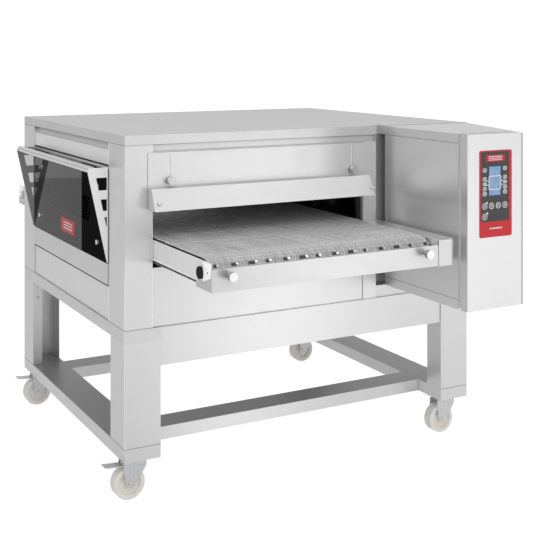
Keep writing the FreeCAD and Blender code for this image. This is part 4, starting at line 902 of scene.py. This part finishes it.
def floor_glow(shader):
    """Light of the floor, laid out as the camera sees it mirrored in the oven's front.

    The line from a floor point to the mirrored camera crosses the front at (across, up), in metres from
    its left edge and from the floor. A bright patch in the middle fades downwards, a second one lies on
    the control box, and the floor behind the front is dimmer."""
    eye = camera_place()
    front = spot(0, 0, 0)
    depth = front.y - eye.y
    ahead = shader.sum("SUBTRACT", front.y, shader.axis(1))
    share = shader.sum("DIVIDE", depth, shader.sum("ADD", ahead, depth))
    sideways = shader.sum("MULTIPLY", shader.sum("SUBTRACT", shader.axis(0), eye.x), share)
    across = shader.sum("ADD", sideways, eye.x - front.x)
    up = shader.sum("MULTIPLY", shader.sum("SUBTRACT", 1.0, share), eye.z)
    from_middle = shader.sum("ABSOLUTE", shader.sum("SUBTRACT", across, 0.48), 0.0)
    patch = shader.sum("MULTIPLY", shader.ramp(from_middle, 0.1, 0.38, 1, 0),
                       shader.ramp(up, 0.3, 1.05, 0.42, 2.4))
    box_patch = shader.sum("MULTIPLY", shader.ramp(across, 0.92, 1.05, 0.0, 0.58),
                           shader.ramp(up, 0.4, 0.6, 0.0, 1.0))
    base = shader.sum("MULTIPLY", shader.ramp(up, 0.3, 0.7, 0.46, 0.36),
                      shader.ramp(across, 0.1, 0.4, 0.8, 1.0))
    glow = shader.sum("ADD", base, shader.sum("ADD", patch, box_patch))
    before = shader.sum("GREATER_THAN", ahead, 0.0)
    behind = shader.sum("MULTIPLY", 0.38, shader.sum("SUBTRACT", 1.0, before))
    return shader.sum("ADD", behind, shader.sum("MULTIPLY", glow, before))


def floor():
    """Pale floor that the camera sees as white and that lights the oven from below."""
    bpy.ops.mesh.primitive_plane_add(size=60, location=(0, 0, 0))
    plane = bpy.context.object
    plane.name = "studio_floor"
    shader = Shader("studio_floor")
    grain = shader.noise((1, 1, 1), 40, 3)
    shade = shader.mix(grain, grey(0.40), grey(0.42))
    seen = shader.add("ShaderNodeLightPath").outputs["Is Camera Ray"]
    glow = shader.add("ShaderNodeMix", {"data_type": "FLOAT"}, i0=seen, i2=floor_glow(shader), i3=0.88)
    shader.set(Base_Color=shade, Roughness=0.9, Specular_IOR_Level=0.0, Emission_Color=grey(1.0),
               Emission_Strength=glow.outputs[0])
    plane.data.materials.append(shader.material)


def world():
    """White studio: rays from the camera see white, reflections see soft bands of light."""
    made = bpy.data.worlds.new("studio")
    bpy.context.scene.world = made
    made.use_nodes = True
    tree = made.node_tree
    tree.nodes.clear()
    output = tree.nodes.new("ShaderNodeOutputWorld")
    coordinates = tree.nodes.new("ShaderNodeTexCoord")
    split = tree.nodes.new("ShaderNodeSeparateXYZ")
    tree.links.new(coordinates.outputs["Generated"], split.inputs[0])
    ramp = tree.nodes.new("ShaderNodeValToRGB")
    stops = ramp.color_ramp.elements
    stops[0].position, stops[0].color = 0.0, (0.5, 0.5, 0.5, 1)
    stops[1].position, stops[1].color = 1.0, (0.7, 0.7, 0.7, 1)
    for position, value in ((0.47, 0.62), (0.53, 0.46), (0.62, 0.75), (0.8, 0.6)):
        stop = stops.new(position)
        stop.color = (value, value, value, 1)
    shift = tree.nodes.new("ShaderNodeMapRange")
    shift.inputs[1].default_value = -1
    tree.links.new(split.outputs[2], shift.inputs[0])
    tree.links.new(shift.outputs[0], ramp.inputs[0])
    soft = tree.nodes.new("ShaderNodeBackground")
    soft.inputs["Strength"].default_value = 0.9
    tree.links.new(ramp.outputs[0], soft.inputs["Color"])
    white = tree.nodes.new("ShaderNodeBackground")
    white.inputs["Color"].default_value = (1, 1, 1, 1)
    white.inputs["Strength"].default_value = 1.05
    path = tree.nodes.new("ShaderNodeLightPath")
    mix = tree.nodes.new("ShaderNodeMixShader")
    tree.links.new(path.outputs["Is Camera Ray"], mix.inputs[0])
    tree.links.new(soft.outputs[0], mix.inputs[1])
    tree.links.new(white.outputs[0], mix.inputs[2])
    tree.links.new(mix.outputs[0], output.inputs[0])


def lamp(name, place, aim, size, power):
    """A rectangular lamp with its sides in metres and its power in watts."""
    data = bpy.data.lights.new(name, "AREA")
    data.shape = "RECTANGLE"
    data.size, data.size_y = size
    data.energy = power
    thing = bpy.data.objects.new(name, data)
    bpy.context.scene.collection.objects.link(thing)
    thing.location = place
    thing.rotation_euler = (Vector(aim) - Vector(place)).to_track_quat("-Z", "Y").to_euler()


def camera_place():
    """Where the photo was taken from."""
    return spot(-1124.5, -2980, BODY_BASE + 842.5)


def camera():
    """Level camera looking past the oven's left front corner, with the lens shifted down.

    The shift holds while the camera turns by Euler angles (mode 1). A view from another side turns it by
    quaternion (mode 0), and then the shift is 0, so that the oven stays in the middle of the picture."""
    data = bpy.data.cameras.new("camera")
    data.lens = 69.3
    data.clip_end = 100
    thing = bpy.data.objects.new("camera", data)
    bpy.context.scene.collection.objects.link(thing)
    thing.location = camera_place()
    thing.rotation_mode = "XYZ"
    thing.rotation_euler = (math.radians(90), 0, math.radians(-CAMERA_YAW))
    curve = data.driver_add("shift_y").driver
    curve.type = "SCRIPTED"
    mode = curve.variables.new()
    mode.name = "mode"
    mode.type = "SINGLE_PROP"
    mode.targets[0].id = thing
    mode.targets[0].data_path = "rotation_mode"
    curve.expression = "-0.4035 * min(mode, 1)"
    bpy.context.scene.camera = thing


def studio():
    """Floor, white world, lamps and the photo's camera."""
    floor()
    world()
    lamp("key_light", (-1.0, -5.0, 3.2), (0, 0, 0.7), (4.0, 3.0), 60)
    lamp("top_light", (0, 0.5, 5.0), (0, 0, 0), (5.0, 5.0), 45)
    lamp("hood_light", spot(2294, -2464, 3520), spot(430, -64, 925), (0.4, 1.0), 3.5)
    lamp("chamber_light", spot(280, 880, 905), spot(280, 880, 800), (0.35, 0.4), 0.3)
    lamp("window_light", spot(44, 640, 895), spot(95, 640, 850), (0.6, 0.02), 0.3)
    camera()
    bpy.context.scene.view_settings.view_transform = "Standard"


finish_nodes()
wire_belt()
keypad()
door_badge()
hood_screws()
seams()
painted_highlights()
rail_ends()
studio()
